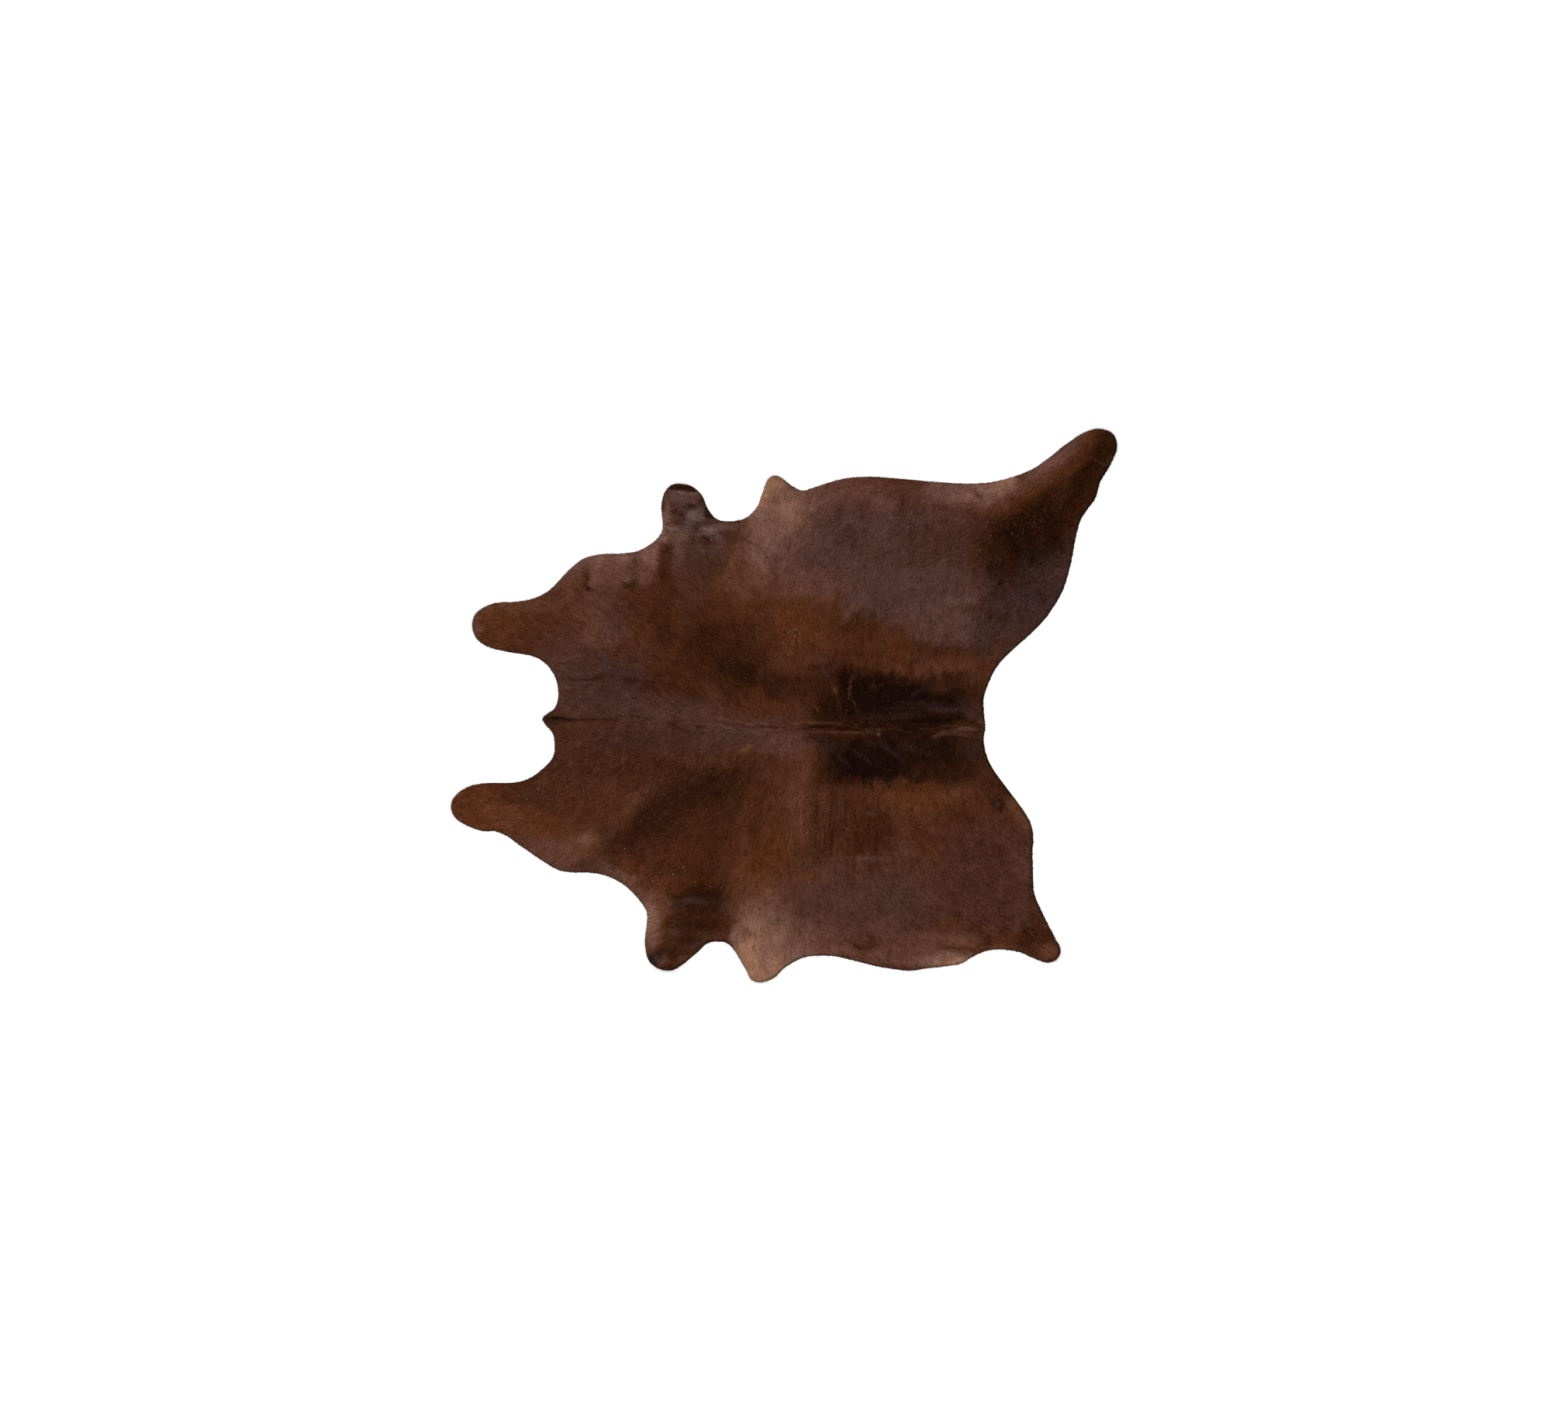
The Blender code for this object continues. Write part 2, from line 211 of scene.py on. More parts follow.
# Where each tone lies, from the ground tone up: tone, strength, x, y, half length and half width in mm,
# then the turn in degrees and the softness where they differ from PLAIN. +X is the rump, +Y the right side.
GROUND = "bay"
PLAIN = (0, 1.2)
PATCHES = (
    # left cheek and throat
    ("russet", 0.5, -1010, -330, 120, 90, 0, 0.9),
    ("walnut", 0.5, -840, -300, 90, 40, -8),
    ("cinnamon", 0.4, -860, -405, 110, 34, -32),
    ("russet", 0.6, -800, -390, 80, 40, -20),
    ("rosewood", 0.65, -755, -500, 110, 46, -20),
    ("cinnamon", 0.6, -660, -450, 60, 45, 20),
    ("fawn", 0.25, -655, -440, 24, 18, 30, 1.4),
    ("walnut", 0.6, -625, -520, 60, 16, 10),
    ("rosewood", 0.8, -560, -552, 70, 42, -35),
    ("russet", 0.6, -500, -522, 50, 26, -40),
    ("rosewood", 0.75, -480, -630, 60, 32, -50),
    ("russet", 0.6, -980, -405, 70, 18, -14),
    # the next four rows: painted shade in a thin line along the cheek's upper rim, on towards the nape
    ("umber", 0.5, -935, -257, 74, 8, 3),
    ("umber", 0.5, -845, -242, 36, 8, 17),
    ("umber", 0.5, -790, -205, 40, 8, 45),
    ("umber", 0.5, -760, -150, 40, 8, 75),
    ("russet", 0.45, -828, -495, 40, 14, -35),
    ("cinnamon", 0.45, -895, -448, 34, 12, -22),
    # neck, left of the spine
    ("walnut", 0.6, -670, -190, 130, 110),
    ("walnut", 0.6, -430, -108, 220, 48, -2),
    ("cocoa", 0.35, -340, -125, 130, 50),
    ("walnut", 0.5, -540, -220, 90, 90, 20),
    ("mahogany", 0.55, -440, -215, 90, 50, 10),
    ("cinnamon", 0.35, -500, -330, 90, 26, 50),
    ("cocoa", 0.3, -560, -110, 150, 40, 5),
    ("umber", 0.4, -490, -200, 34, 26, 0, 1.4),
    ("umber", 0.35, -400, -200, 30, 22, 0, 1.4),
    # neck, right of the spine
    ("mauve", 0.55, -700, 60, 90, 110),
    ("cocoa", 0.7, -560, 60, 130, 100),
    ("slate", 0.65, -560, 108, 96, 16, -52),
    ("slate", 0.35, -480, 92, 60, 20, -6),
    ("mauve", 0.6, -514, 46, 44, 22, -45),
    ("umber", 0.5, -650, 84, 60, 6),
    ("umber", 0.5, -470, 80, 60, 8, -8),
    ("walnut", 0.5, -690, 45, 40, 8, 0, 1.4),
    ("umber", 0.65, -606, 94, 18, 10, 0, 1.4),
    ("umber", 0.45, -700, 136, 30, 10, -8, 1.4),
    ("umber", 0.3, -520, 75, 20, 14, 0, 1.4),
    ("umber", 0.7, -300, 38, 30, 22),
    ("mahogany", 0.45, -400, 50, 100, 60),
    ("mahogany", 0.5, -330, 95, 90, 60),
    ("mauve", 0.4, -420, -10, 150, 40),
    ("mauve", 0.35, -330, -30, 120, 40),
    ("umber", 0.4, -292, 14, 50, 16),
    ("walnut", 0.5, -300, -95, 60, 36),
    # right cheek
    ("russet", 0.3, -960, 262, 110, 90, 0, 1),
    ("rosewood", 0.5, -1018, 272, 18, 40),
    ("cinnamon", 0.6, -885, 335, 130, 28, 2),
    ("mauve", 0.25, -720, 170, 90, 70),
    ("cinnamon", 0.45, -735, 380, 100, 36, 40),
    ("walnut", 0.6, -768, 350, 36, 20, 20),
    ("cinnamon", 0.35, -640, 300, 50, 30),
    ("rosewood", 0.35, -620, 350, 60, 40, 20),
    ("rosewood", 0.4, -615, 240, 60, 50),
    ("mauve", 0.5, -560, 270, 60, 60, 30),
    ("mahogany", 0.5, -480, 320, 70, 60),
    ("walnut", 0.4, -748, 382, 44, 14, 40),
    # right shoulder
    ("rosewood", 0.85, -560, 450, 84, 54, 3, 0.5),
    ("rosewood", 0.8, -450, 475, 76, 32, 84, 0.7),
    ("blush", 0.3, -610, 470, 40, 26),
    ("blush", 0.5, -432, 520, 50, 18, 60),
    ("blush", 0.6, -398, 560, 26, 14, 70),
    # the next two rows: painted light, a pale band along the upper rim on the side towards the light
    ("rosewood", 0.75, -700, 458, 80, 20, 45),
    ("blush", 0.5, -560, 488, 130, 18, 2),
    ("umber", 0.3, -648, 420, 40, 4, 84),
    ("rosewood", 0.9, -628, 436, 44, 12, 84),
    ("rosewood", 0.3, -575, 384, 60, 14),
    ("blush", 0.4, -424, 490, 40, 10, 88),
    ("rosewood", 0.5, -690, 440, 60, 22, 45),
    ("umber", 0.4, -622, 376, 30, 6, -10),
    ("sable", 0.8, -642, 386, 9, 5, 30, 1),
    ("umber", 0.5, -628, 392, 16, 4, 60),
    ("umber", 0.8, -512, 392, 24, 7, 14),
    ("umber", 0.7, -525, 404, 14, 5, -30),
    ("umber", 0.7, -494, 404, 12, 5, 30),
    ("umber", 0.5, -503, 418, 20, 3, 70),
    ("umber", 0.4, -512, 450, 24, 3, 80),
    ("umber", 0.4, -490, 470, 20, 3, 100),
    ("walnut", 0.45, -490, 440, 54, 14, 86),
    ("chestnut", 0.7, -388, 512, 26, 22, 90, 1),
    ("mahogany", 0.6, -404, 300, 90, 34, 90),
    ("umber", 0.6, -402, 228, 40, 30, 90),
    ("mauve", 0.4, -325, 250, 70, 22, 92),
    ("plum", 0.5, -310, 370, 70, 40),
    ("umber", 0.75, -190, 160, 150, 90, -35),
    ("mahogany", 0.7, -230, 200, 150, 120),
    ("umber", 0.4, -260, 220, 70, 50),
    ("umber", 0.5, -110, 210, 60, 70),
    ("sable", 0.55, -165, 110, 70, 40, -30),
    ("umber", 0.6, -90, 60, 120, 50),
    ("umber", 0.55, 20, 50, 80, 50),
    # right foreleg
    ("mauve", 0.8, -305, 590, 80, 130, 0, 0.9),
    ("slate", 0.4, -330, 610, 60, 60),
    ("blush", 0.5, -362, 566, 20, 34),
    ("ash", 0.4, -290, 540, 90, 90),
    ("blush", 0.65, -391, 602, 70, 13, 88, 1),
    ("rosewood", 0.5, -345, 530, 60, 16, 88),
    ("ash", 0.75, -290, 628, 30, 18),
    ("ash", 0.6, -245, 580, 26, 16),
    ("ash", 0.5, -375, 690, 30, 14, 40),
    ("umber", 0.95, -325, 718, 58, 15, -4, 0.6),
    ("ash", 0.35, -320, 684, 40, 12),
    ("umber", 0.8, -303, 658, 20, 11),
    ("umber", 0.4, -360, 634, 24, 9),
    ("umber", 0.6, -262, 672, 16, 12),
    ("umber", 0.85, -250, 634, 14, 18, 20),
    ("umber", 0.6, -402, 665, 26, 9, 90),
    ("umber", 0.6, -262, 599, 22, 9),
    ("umber", 0.6, -352, 601, 22, 6, -4),
    ("walnut", 0.7, -262, 448, 70, 34),
    ("umber", 0.45, -255, 462, 44, 12, 4),
    ("walnut", 0.5, -200, 470, 50, 24),
    ("ash", 0.85, -325, 701, 58, 5, -6),
    ("mauve", 0.6, -220, 520, 90, 70),
    ("cocoa", 0.4, -320, 588, 30, 18, 0, 1.4),
    ("mahogany", 0.75, -384, 440, 90, 24, 91, 0.7),
    ("mahogany", 0.4, -340, 615, 16, 10),
    ("mahogany", 0.4, -282, 590, 18, 9, 10),
    ("mahogany", 0.4, -286, 530, 18, 14),
    ("ash", 0.5, -226, 562, 30, 12, 10),
    ("walnut", 0.45, -162, 508, 24, 22),
    ("walnut", 0.4, -250, 480, 90, 50),
    ("ash", 0.5, -200, 588, 44, 12),
    ("umber", 0.65, -250, 543, 20, 15),
    ("walnut", 0.55, -342, 616, 24, 11),
    ("walnut", 0.55, -287, 581, 20, 11),
    ("walnut", 0.5, -303, 546, 18, 13),
    ("walnut", 0.5, -317, 496, 16, 12),
    ("mahogany", 0.45, -272, 480, 40, 16),
    ("walnut", 0.5, -192, 566, 22, 16),
    ("mahogany", 0.5, -292, 552, 18, 12),
    ("mahogany", 0.55, -156, 542, 36, 18, 10),
    # right flank point
    ("rosewood", 0.85, -30, 570, 110, 140, -10, 0.9),
    ("blush", 0.8, -58, 590, 50, 75),
    ("blush", 0.7, -106, 618, 20, 26, 20),
    ("fawn", 0.75, -45, 700, 60, 60, -5, 1),
    ("blush", 0.95, 22, 632, 78, 84, 0, 0.9),
    ("fawn", 0.45, 8, 612, 44, 64),
    ("ash", 0.3, 100, 700, 70, 30),
    ("blush", 0.4, -75, 470, 40, 60),
    ("fawn", 0.5, -30, 745, 40, 20),
    ("sand", 0.6, -64, 682, 26, 36, 10),
    ("cinnamon", 0.5, -50, 665, 66, 4, 86),
    ("cinnamon", 0.5, -36, 660, 60, 4, 84),
    ("cinnamon", 0.5, -130, 420, 80, 70, -10),
    ("umber", 0.5, -98, 530, 26, 4, -22),
    ("umber", 0.5, -64, 500, 30, 4, -58),
    ("umber", 0.4, -36, 450, 32, 4, -64),
    ("umber", 0.3, -26, 460, 84, 3, 90),
    ("sand", 0.4, -26, 742, 30, 18),
    # right belly and flank
    ("mauve", 0.85, 330, 520, 330, 150, -3, 0.8),
    ("mauve", 0.8, 360, 350, 170, 70, 0, 0.5),
    ("mauve", 0.8, 540, 260, 130, 70, 0, 0.6),
    ("cocoa", 0.5, 650, 210, 40, 50, 0, 1),
    ("rosewood", 0.2, 520, 280, 110, 60),
    ("rosewood", 0.5, 90, 400, 130, 40),
    ("rosewood", 0.6, 60, 590, 120, 60, -20),
    ("rosewood", 0.7, 130, 700, 150, 44, 5),
    ("fawn", 0.55, 22, 632, 34, 44),
    ("blush", 0.6, -4, 575, 34, 20),
    ("slate", 0.5, 25, 248, 26, 14),
    ("slate", 0.6, 48, 303, 8, 9),
    ("rosewood", 0.3, 330, 710, 100, 30),
    ("mauve", 0.5, 600, 390, 90, 50, -5),
    ("slate", 0.4, 160, 560, 80, 50),
    ("walnut", 0.55, 530, 545, 140, 70),
    ("walnut", 0.55, 384, 655, 60, 18, 90),
    ("rosewood", 0.7, 325, 665, 36, 24),
    ("ash", 0.4, 570, 350, 60, 20, 10, 1.4),
    ("walnut", 0.35, 490, 620, 60, 6, 90),
    ("walnut", 0.3, 240, 560, 60, 24),
    ("walnut", 0.35, 280, 500, 60, 30),
    ("walnut", 0.35, 430, 460, 60, 30),
    # right hind leg
    ("mahogany", 0.6, 665, 500, 60, 90),
    ("umber", 0.85, 930, 690, 190, 90, 55, 0.8),
    ("umber", 0.85, 820, 560, 140, 100, 10, 0.9),
    ("peat", 0.85, 788, 540, 92, 72, 6),
    ("umber", 0.7, 745, 455, 80, 44),
    ("peat", 0.8, 830, 480, 70, 36, 14),
    ("peat", 0.65, 846, 630, 70, 46, 24),
    ("peat", 0.35, 890, 570, 44, 50),
    ("cocoa", 0.35, 935, 535, 20, 34, 10),
    ("peat", 0.35, 960, 700, 80, 26, 60),
    ("umber", 0.9, 1045, 840, 100, 44, 62),
    ("peat", 0.5, 990, 768, 60, 20, 55),
    ("peat", 0.5, 1052, 822, 40, 20, 60),
    ("peat", 0.5, 1040, 850, 26, 8, 30),
    ("blush", 0.6, 570, 705, 100, 34, 4, 1.4),
    ("rosewood", 0.6, 630, 668, 90, 20, -4, 1.4),
    ("ash", 0.5, 535, 705, 50, 26),
    ("fawn", 0.6, 690, 722, 66, 16, 8, 1),
    ("sand", 0.6, 730, 734, 36, 14, 28),
    ("fawn", 0.6, 728, 716, 40, 16, 24),
    ("blush", 0.6, 690, 700, 76, 30, 14),
    ("blush", 0.5, 600, 684, 50, 12, 0, 1.4),
    ("umber", 0.55, 636, 694, 30, 5, -38),
    ("chestnut", 0.6, 836, 722, 60, 18, 42),
    ("blush", 0.2, 850, 760, 60, 14, 40),
    ("rosewood", 0.85, 915, 828, 100, 30, 42, 0.9),
    ("chestnut", 0.6, 960, 800, 90, 24, 50),
    ("chestnut", 0.4, 1000, 866, 40, 22, 45),
    ("peat", 0.4, 822, 618, 44, 26, 20),
    ("sable", 0.35, 800, 502, 44, 26, 10),
    ("umber", 0.35, 700, 518, 44, 30),
    ("umber", 0.3, 930, 722, 34, 20, 50),
    ("mahogany", 0.45, 962, 800, 24, 20, 40),
    ("chestnut", 0.3, 720, 650, 44, 20),
    ("chestnut", 0.6, 898, 764, 30, 16, 42),
    ("cinnamon", 0.25, 872, 742, 30, 14, 42),
    ("hazel", 0.5, 868, 812, 40, 8, 42),
    ("hazel", 0.45, 937, 866, 36, 8, 40),
    ("blush", 0.5, 734, 745, 24, 8, 20),
    ("peat", 0.4, 980, 616, 14, 30, 60),
    ("cinnamon", 0.35, 1038, 803, 32, 2.5, -32),
    ("sable", 0.6, 1046, 794, 30, 3, -32),
    ("umber", 0.5, 1012, 846, 24, 3, -30),
    ("blush", 0.35, 820, 765, 70, 16, 32),
    ("slate", 0.8, 840, 390, 110, 90, 62, 1),
    ("slate", 0.7, 740, 300, 110, 90, 20),
    ("slate", 0.5, 690, 400, 50, 70),
    ("umber", 0.5, 700, 470, 40, 40),
    ("umber", 0.35, 780, 420, 60, 40, 10),
    ("sable", 0.55, 842, 492, 30, 22),
    ("umber", 0.4, 740, 390, 60, 36, 0, 1.4),
    ("umber", 0.4, 700, 290, 30, 22, 0, 1.4),
    ("umber", 0.45, 716, 474, 54, 42),
    ("umber", 0.25, 872, 468, 50, 30, 10),
    ("umber", 0.6, 728, 200, 14, 10, 30),
    ("rosewood", 0.5, 862, 800, 60, 14, 38),
    ("cocoa", 0.6, 730, 184, 40, 16, 42),
    ("rosewood", 0.4, 640, 720, 60, 14),
    # right ribs
    ("chestnut", 0.6, 50, 250, 150, 90, -5),
    ("chestnut", 0.5, -120, 330, 90, 24, 20, 1.4),
    ("rosewood", 0.45, 0, 362, 60, 20, 0, 1.4),
    ("mahogany", 0.45, -20, 256, 44, 30),
    ("chestnut", 0.5, -100, 24, 40, 30),
    ("russet", 0.35, 40, 280, 60, 60),
    ("mahogany", 0.6, 235, 260, 60, 40, -10),
    ("rosewood", 0.5, 222, 312, 36, 18, 45),
    ("mahogany", 0.5, 280, 280, 50, 36, 0, 1),
    ("mahogany", 0.4, 250, 150, 90, 40),
    ("russet", 0.5, 375, 170, 40, 50),
    ("mahogany", 0.5, 500, 185, 110, 16),
    ("mahogany", 0.25, 420, 160, 240, 50, -4),
    ("umber", 0.35, 500, 142, 120, 14),
    ("umber", 0.45, 130, 60, 60, 50),
    ("umber", 0.4, 150, 110, 60, 40),
    ("cinnamon", 0.35, 540, 132, 90, 22, 3),
    ("umber", 0.5, 565, 88, 50, 14),
    # saddle, right of the spine
    ("umber", 0.9, 490, 10, 180, 84, 0, 0.7),
    ("umber", 0.85, 190, -38, 110, 36, 0, 0.9),
    ("umber", 0.75, 190, 30, 90, 80, 0, 0.9),
    ("umber", 0.8, 300, 106, 44, 12, -12),
    ("sable", 0.8, 208, 62, 36, 44, 0, 0.8),
    ("sable", 0.6, 282, 86, 30, 14, -14),
    ("sable", 0.55, 225, 40, 50, 60, 0, 0.9),
    ("sable", 0.95, 340, 16, 130, 76, 0, 0.6),
    ("sable", 0.85, 450, 2, 110, 60, 0, 0.9),
    ("sable", 0.8, 570, 0, 50, 34, 0, 1),
    ("sable", 0.9, 300, -46, 90, 20),
    ("sable", 0.5, 166, -12, 64, 44),
    ("cocoa", 0.3, 340, -36, 110, 12),
    ("cocoa", 0.35, 602, 2, 34, 26),
    ("umber", 0.6, 400, 78, 60, 14),
    ("cocoa", 0.35, 480, -14, 130, 10, -2, 1.5),
    ("cocoa", 0.45, 635, -26, 34, 28),
    ("walnut", 0.45, 515, 52, 26, 14, -10, 1.4),
    ("slate", 0.3, 500, 6, 44, 6, -8, 1.5),
    ("slate", 0.4, 530, -13, 54, 6, -6, 1.5),
    ("slate", 0.25, 440, 40, 36, 6, 26, 1.5),
    ("cocoa", 0.4, 430, 6, 44, 5, -5),
    ("mauve", 0.4, 118, 142, 18, 13, -60, 1.4),
    ("cocoa", 0.6, 138, 108, 34, 10, -66, 1.4),
    ("cinnamon", 0.5, 168, 50, 9, 6, -70, 1.4),
    ("walnut", 0.6, 180, 10, 32, 4, -74),
    ("cinnamon", 0.4, 217, 50, 40, 2.5, 84),
    ("cinnamon", 0.4, 223, 86, 12, 2.5, 56),
    ("cinnamon", 0.3, 231, 4, 26, 2.5, -72),
    ("walnut", 0.5, 290, 62, 12, 3, 60),
    ("walnut", 0.5, 303, 57, 10, 3, -50),
    ("walnut", 0.4, 322, 66, 12, 3, 20),
    ("cinnamon", 0.4, 110, -16, 9, 3, -60),
    ("walnut", 0.3, 346, 30, 22, 2.5, 84),
    # saddle, left of the spine
    ("umber", 0.85, 170, -140, 54, 50, -14),
    ("umber", 0.65, 150, -200, 40, 70, 4),
    ("umber", 0.6, 220, -228, 110, 40),
    ("umber", 0.85, 230, -252, 50, 14),
    ("sable", 0.92, 315, -172, 150, 80, 0, 0.6),
    ("sable", 0.45, 215, -190, 60, 56, 10),
    ("umber", 0.9, 530, -165, 140, 84, 0, 0.7),
    ("sable", 0.6, 500, -140, 110, 56),
    ("umber", 0.6, 600, -240, 60, 24, -10),
    ("mahogany", 0.6, 370, -272, 80, 14),
    ("slate", 0.6, 150, -118, 40, 18, -20, 1.4),
    ("cocoa", 0.4, 138, -165, 18, 30, 0, 1.4),
    ("slate", 0.45, 250, -160, 44, 7, -36, 1.5),
    ("slate", 0.3, 196, -176, 34, 7, -42, 1.5),
    ("sable", 0.45, 176, -124, 64, 22, -8),
    ("sable", 0.6, 500, -128, 44, 16),
    ("slate", 0.3, 300, -126, 34, 9, -16, 1.5),
    ("slate", 0.28, 352, -146, 34, 8, -36, 1.5),
    ("slate", 0.28, 420, -128, 40, 12, 4, 1.5),
    ("slate", 0.3, 455, -150, 40, 9, -12, 1.5),
    ("slate", 0.2, 490, -122, 30, 6, 24, 1.5),
    ("sable", 0.6, 320, -140, 22, 7, -30, 1.4),
    ("sable", 0.6, 300, -106, 24, 9),
    ("cocoa", 0.4, 625, -150, 40, 50),
    ("sable", 0.4, 281, -106, 34, 12),
    # spine, with thin pale and dark lines that are partly the hair's parting and partly painted ridge light
    # and shade
    ("mauve", 0.65, -100, -95, 180, 50, -3),
    ("rosewood", 0.4, 0, -130, 70, 40),
    ("bay", 0.5, 10, -72, 60, 18),
    ("umber", 0.85, 420, -76, 300, 34, 0, 0.9),
    ("umber", 0.6, 130, -95, 60, 22),
    ("sable", 0.65, 390, -86, 110, 22),
    ("umber", 0.6, -60, -70, 56, 4),
    ("cinnamon", 0.4, -60, -61, 50, 3, -4),
    ("cinnamon", 0.35, -75, -82, 40, 3, 3),
    ("cinnamon", 0.45, -150, -54, 60, 3.5, -12),
    ("cinnamon", 0.35, 120, -58, 80, 3, -1),
    ("cinnamon", 0.3, 190, -86, 90, 4, -1, 1.5),
    ("sable", 0.8, 130, -69, 70, 5, -2),
    ("sable", 0.7, 230, -77, 60, 4.5, 1),
    ("sable", 0.75, 400, -68, 34, 10, 2),
    ("cinnamon", 0.25, 340, -76, 50, 2.5, 2, 1.4),
    ("sable", 0.9, 480, -52, 118, 12, 2, 1),
    ("rosewood", 0.35, 545, -88, 40, 6, 14, 1.5),
    ("rosewood", 0.6, 604, -76, 32, 8, 2, 1.4),
    ("mahogany", 0.7, 600, -58, 34, 9, -2),
    ("umber", 0.5, 612, -84, 26, 2.5, 6),
    ("cinnamon", 0.35, 596, -95, 34, 6, -3, 1.5),
    ("rosewood", 0.35, 505, -98, 24, 4, 24, 1.4),
    ("ash", 0.5, 310, -94, 5, 4),
    ("ash", 0.35, 311, -84, 3, 8),
    ("rosewood", 0.5, -245, -68, 30, 5, -20, 1.4),
    ("rosewood", 0.5, -190, -72, 30, 4, -15, 1.4),
    ("rosewood", 0.5, -95, -90, 34, 4, -10, 1.4),
    ("umber", 0.4, -200, -58, 40, 4, -15, 1.4),
    ("sable", 0.85, -735, -43, 56, 5, -6),
    ("umber", 0.8, -630, -46, 90, 3.5),
    ("sable", 0.5, -765, -50, 40, 16),
    ("umber", 0.5, -360, -38, 36, 4, -22),
    ("umber", 0.5, -340, -75, 46, 4, -26),
    ("umber", 0.4, -460, -40, 60, 3, -4),
    ("rosewood", 0.5, 656, -76, 14, 34),
    # left ribs and shoulder
    ("mahogany", 0.7, -260, -430, 190, 130, 10),
    ("umber", 0.75, -430, -370, 180, 66, 42),
    ("umber", 0.75, -240, -260, 140, 60, 12),
    ("umber", 0.35, -200, -330, 60, 60),
    ("mahogany", 0.5, -80, -284, 40, 34),
    ("sable", 0.6, -240, -243, 15, 9, 10),
    ("ochre", 0.4, -126, -142, 18, 6, 40, 1.4),
    ("ochre", 0.2, -105, -128, 14, 5, 30, 1.4),
    ("umber", 0.5, -100, -184, 18, 9),
    ("umber", 0.5, 0, -281, 6, 8),
    ("chestnut", 0.4, -330, -500, 70, 40),
    ("chestnut", 0.5, -150, -400, 130, 22, 66, 1.4),
    ("chestnut", 0.4, -150, -440, 22, 60, 0, 1.4),
    ("russet", 0.4, -40, -440, 100, 36, 88, 1.4),
    ("cinnamon", 0.4, -130, -500, 60, 20, 84),
    ("cinnamon", 0.5, 42, -350, 150, 34, 88, 1.4),
    ("cinnamon", 0.4, 130, -350, 90, 16, 87),
    ("chestnut", 0.6, -20, -480, 80, 90, -6),
    ("russet", 0.4, -90, -560, 80, 60),
    # left foreleg
    ("umber", 0.9, -275, -680, 104, 125, 0, 0.8),
    ("mahogany", 0.5, -270, -700, 90, 14),
    ("russet", 0.35, -340, -592, 130, 30, 0, 1.4),
    ("sable", 0.5, -272, -614, 60, 24),
    ("hazel", 0.6, -222, -765, 60, 18),
    ("walnut", 0.5, -290, -752, 50, 14),
    ("blush", 0.95, -438, -710, 76, 32, 90, 0.9),
    ("cinnamon", 0.5, -442, -632, 30, 20, 60),
    ("fawn", 0.5, -446, -695, 55, 14, 90),
    ("russet", 0.4, -402, -720, 90, 12, 90),
    ("chestnut", 0.5, -378, -692, 22, 24),
    ("hazel", 0.5, -184, -695, 24, 50, 10),
    ("walnut", 0.8, -370, -845, 76, 34, 0, 1),
    ("umber", 0.75, -396, -812, 40, 22),
    ("umber", 0.6, -300, -830, 50, 26, 30, 1),
    ("sable", 0.9, -436, -842, 20, 20, 70, 1),
    ("slate", 0.7, -418, -835, 14, 16, 70),
    ("rosewood", 0.5, -395, -838, 18, 12, 60),
    ("rosewood", 0.4, -333, -835, 18, 12, 20),
    ("mauve", 0.35, -370, -668, 36, 12, 0, 1.5),
    ("mauve", 0.3, -385, -748, 34, 10, 0, 1.5),
    ("mauve", 0.3, -300, -645, 60, 10, 0, 1.5),
    ("cinnamon", 0.6, -402, -655, 20, 40),
    ("mauve", 0.4, -300, -790, 40, 10, 10),
    ("umber", 0.7, -390, -870, 50, 10, 5),
    ("cinnamon", 0.6, 16, -642, 30, 34, 0, 1.4),
    ("chestnut", 0.6, -305, -822, 40, 14, 25),
    ("chestnut", 0.5, -298, -834, 40, 10, 30),
    ("chestnut", 0.5, -206, -730, 16, 26),
    ("cinnamon", 0.5, -430, -763, 12, 30),
    # left flank point
    ("cinnamon", 0.85, -70, -690, 88, 115, 10),
    ("blush", 0.75, -60, -705, 76, 66),
    ("blush", 0.8, -160, -772, 22, 50, 8, 1),
    ("fawn", 0.85, -80, -835, 84, 72, 0, 1),
    ("sand", 0.5, -96, -880, 32, 50, 14),
    ("sand", 0.6, -118, -812, 36, 30, 20),
    ("blush", 0.9, 20, -785, 75, 75, 10),
    ("fawn", 0.4, -30, -740, 50, 44),
    ("fawn", 0.6, -24, -862, 36, 34),
    ("fawn", 0.45, -70, -726, 70, 22, -6),
    ("blush", 0.5, 10, -700, 60, 30, -10),
    ("sand", 0.4, -14, -870, 30, 16, -35),
    # left flank and belly
    ("hazel", 0.8, 250, -650, 260, 130, 0, 0.8),
    ("mauve", 0.3, 260, -650, 240, 110),
    ("hazel", 0.7, 170, -555, 120, 46, -4, 0.7),
    ("hazel", 0.55, 375, -500, 70, 60, 0, 0.9),
    ("cinnamon", 0.2, 90, -560, 60, 36),
    ("chestnut", 0.6, 80, -560, 34, 24),
    ("mahogany", 0.6, 350, -444, 34, 40),
    ("mahogany", 0.7, 240, -490, 28, 24),
    ("hazel", 0.5, 520, -565, 60, 44),
    ("cocoa", 0.45, 355, -640, 60, 40),
    ("walnut", 0.4, 250, -545, 50, 24),
    ("mahogany", 0.6, 190, -390, 90, 110),
    ("mahogany", 0.65, 290, -420, 60, 80),
    ("russet", 0.5, 450, -315, 150, 40),
    ("russet", 0.5, 470, -262, 40, 14),
    ("cinnamon", 0.3, 560, -300, 60, 20),
    ("ash", 0.4, 285, -357, 22, 5, -15),
    ("ash", 0.35, 205, -405, 12, 4, -20),
    ("ash", 0.4, 278, -503, 40, 9),
    ("rosewood", 0.6, 110, -780, 110, 40, -4),
    ("rosewood", 0.7, 182, -806, 50, 14, -4),
    ("rosewood", 0.65, 400, -830, 160, 36, -3),
    ("rosewood", 0.4, 340, -740, 60, 30, -3),
    ("hazel", 0.7, 352, -742, 30, 20, 0, 1.4),
    ("chestnut", 0.4, 400, -782, 60, 18, 0, 1.4),
    ("rosewood", 0.5, 480, -775, 90, 26),
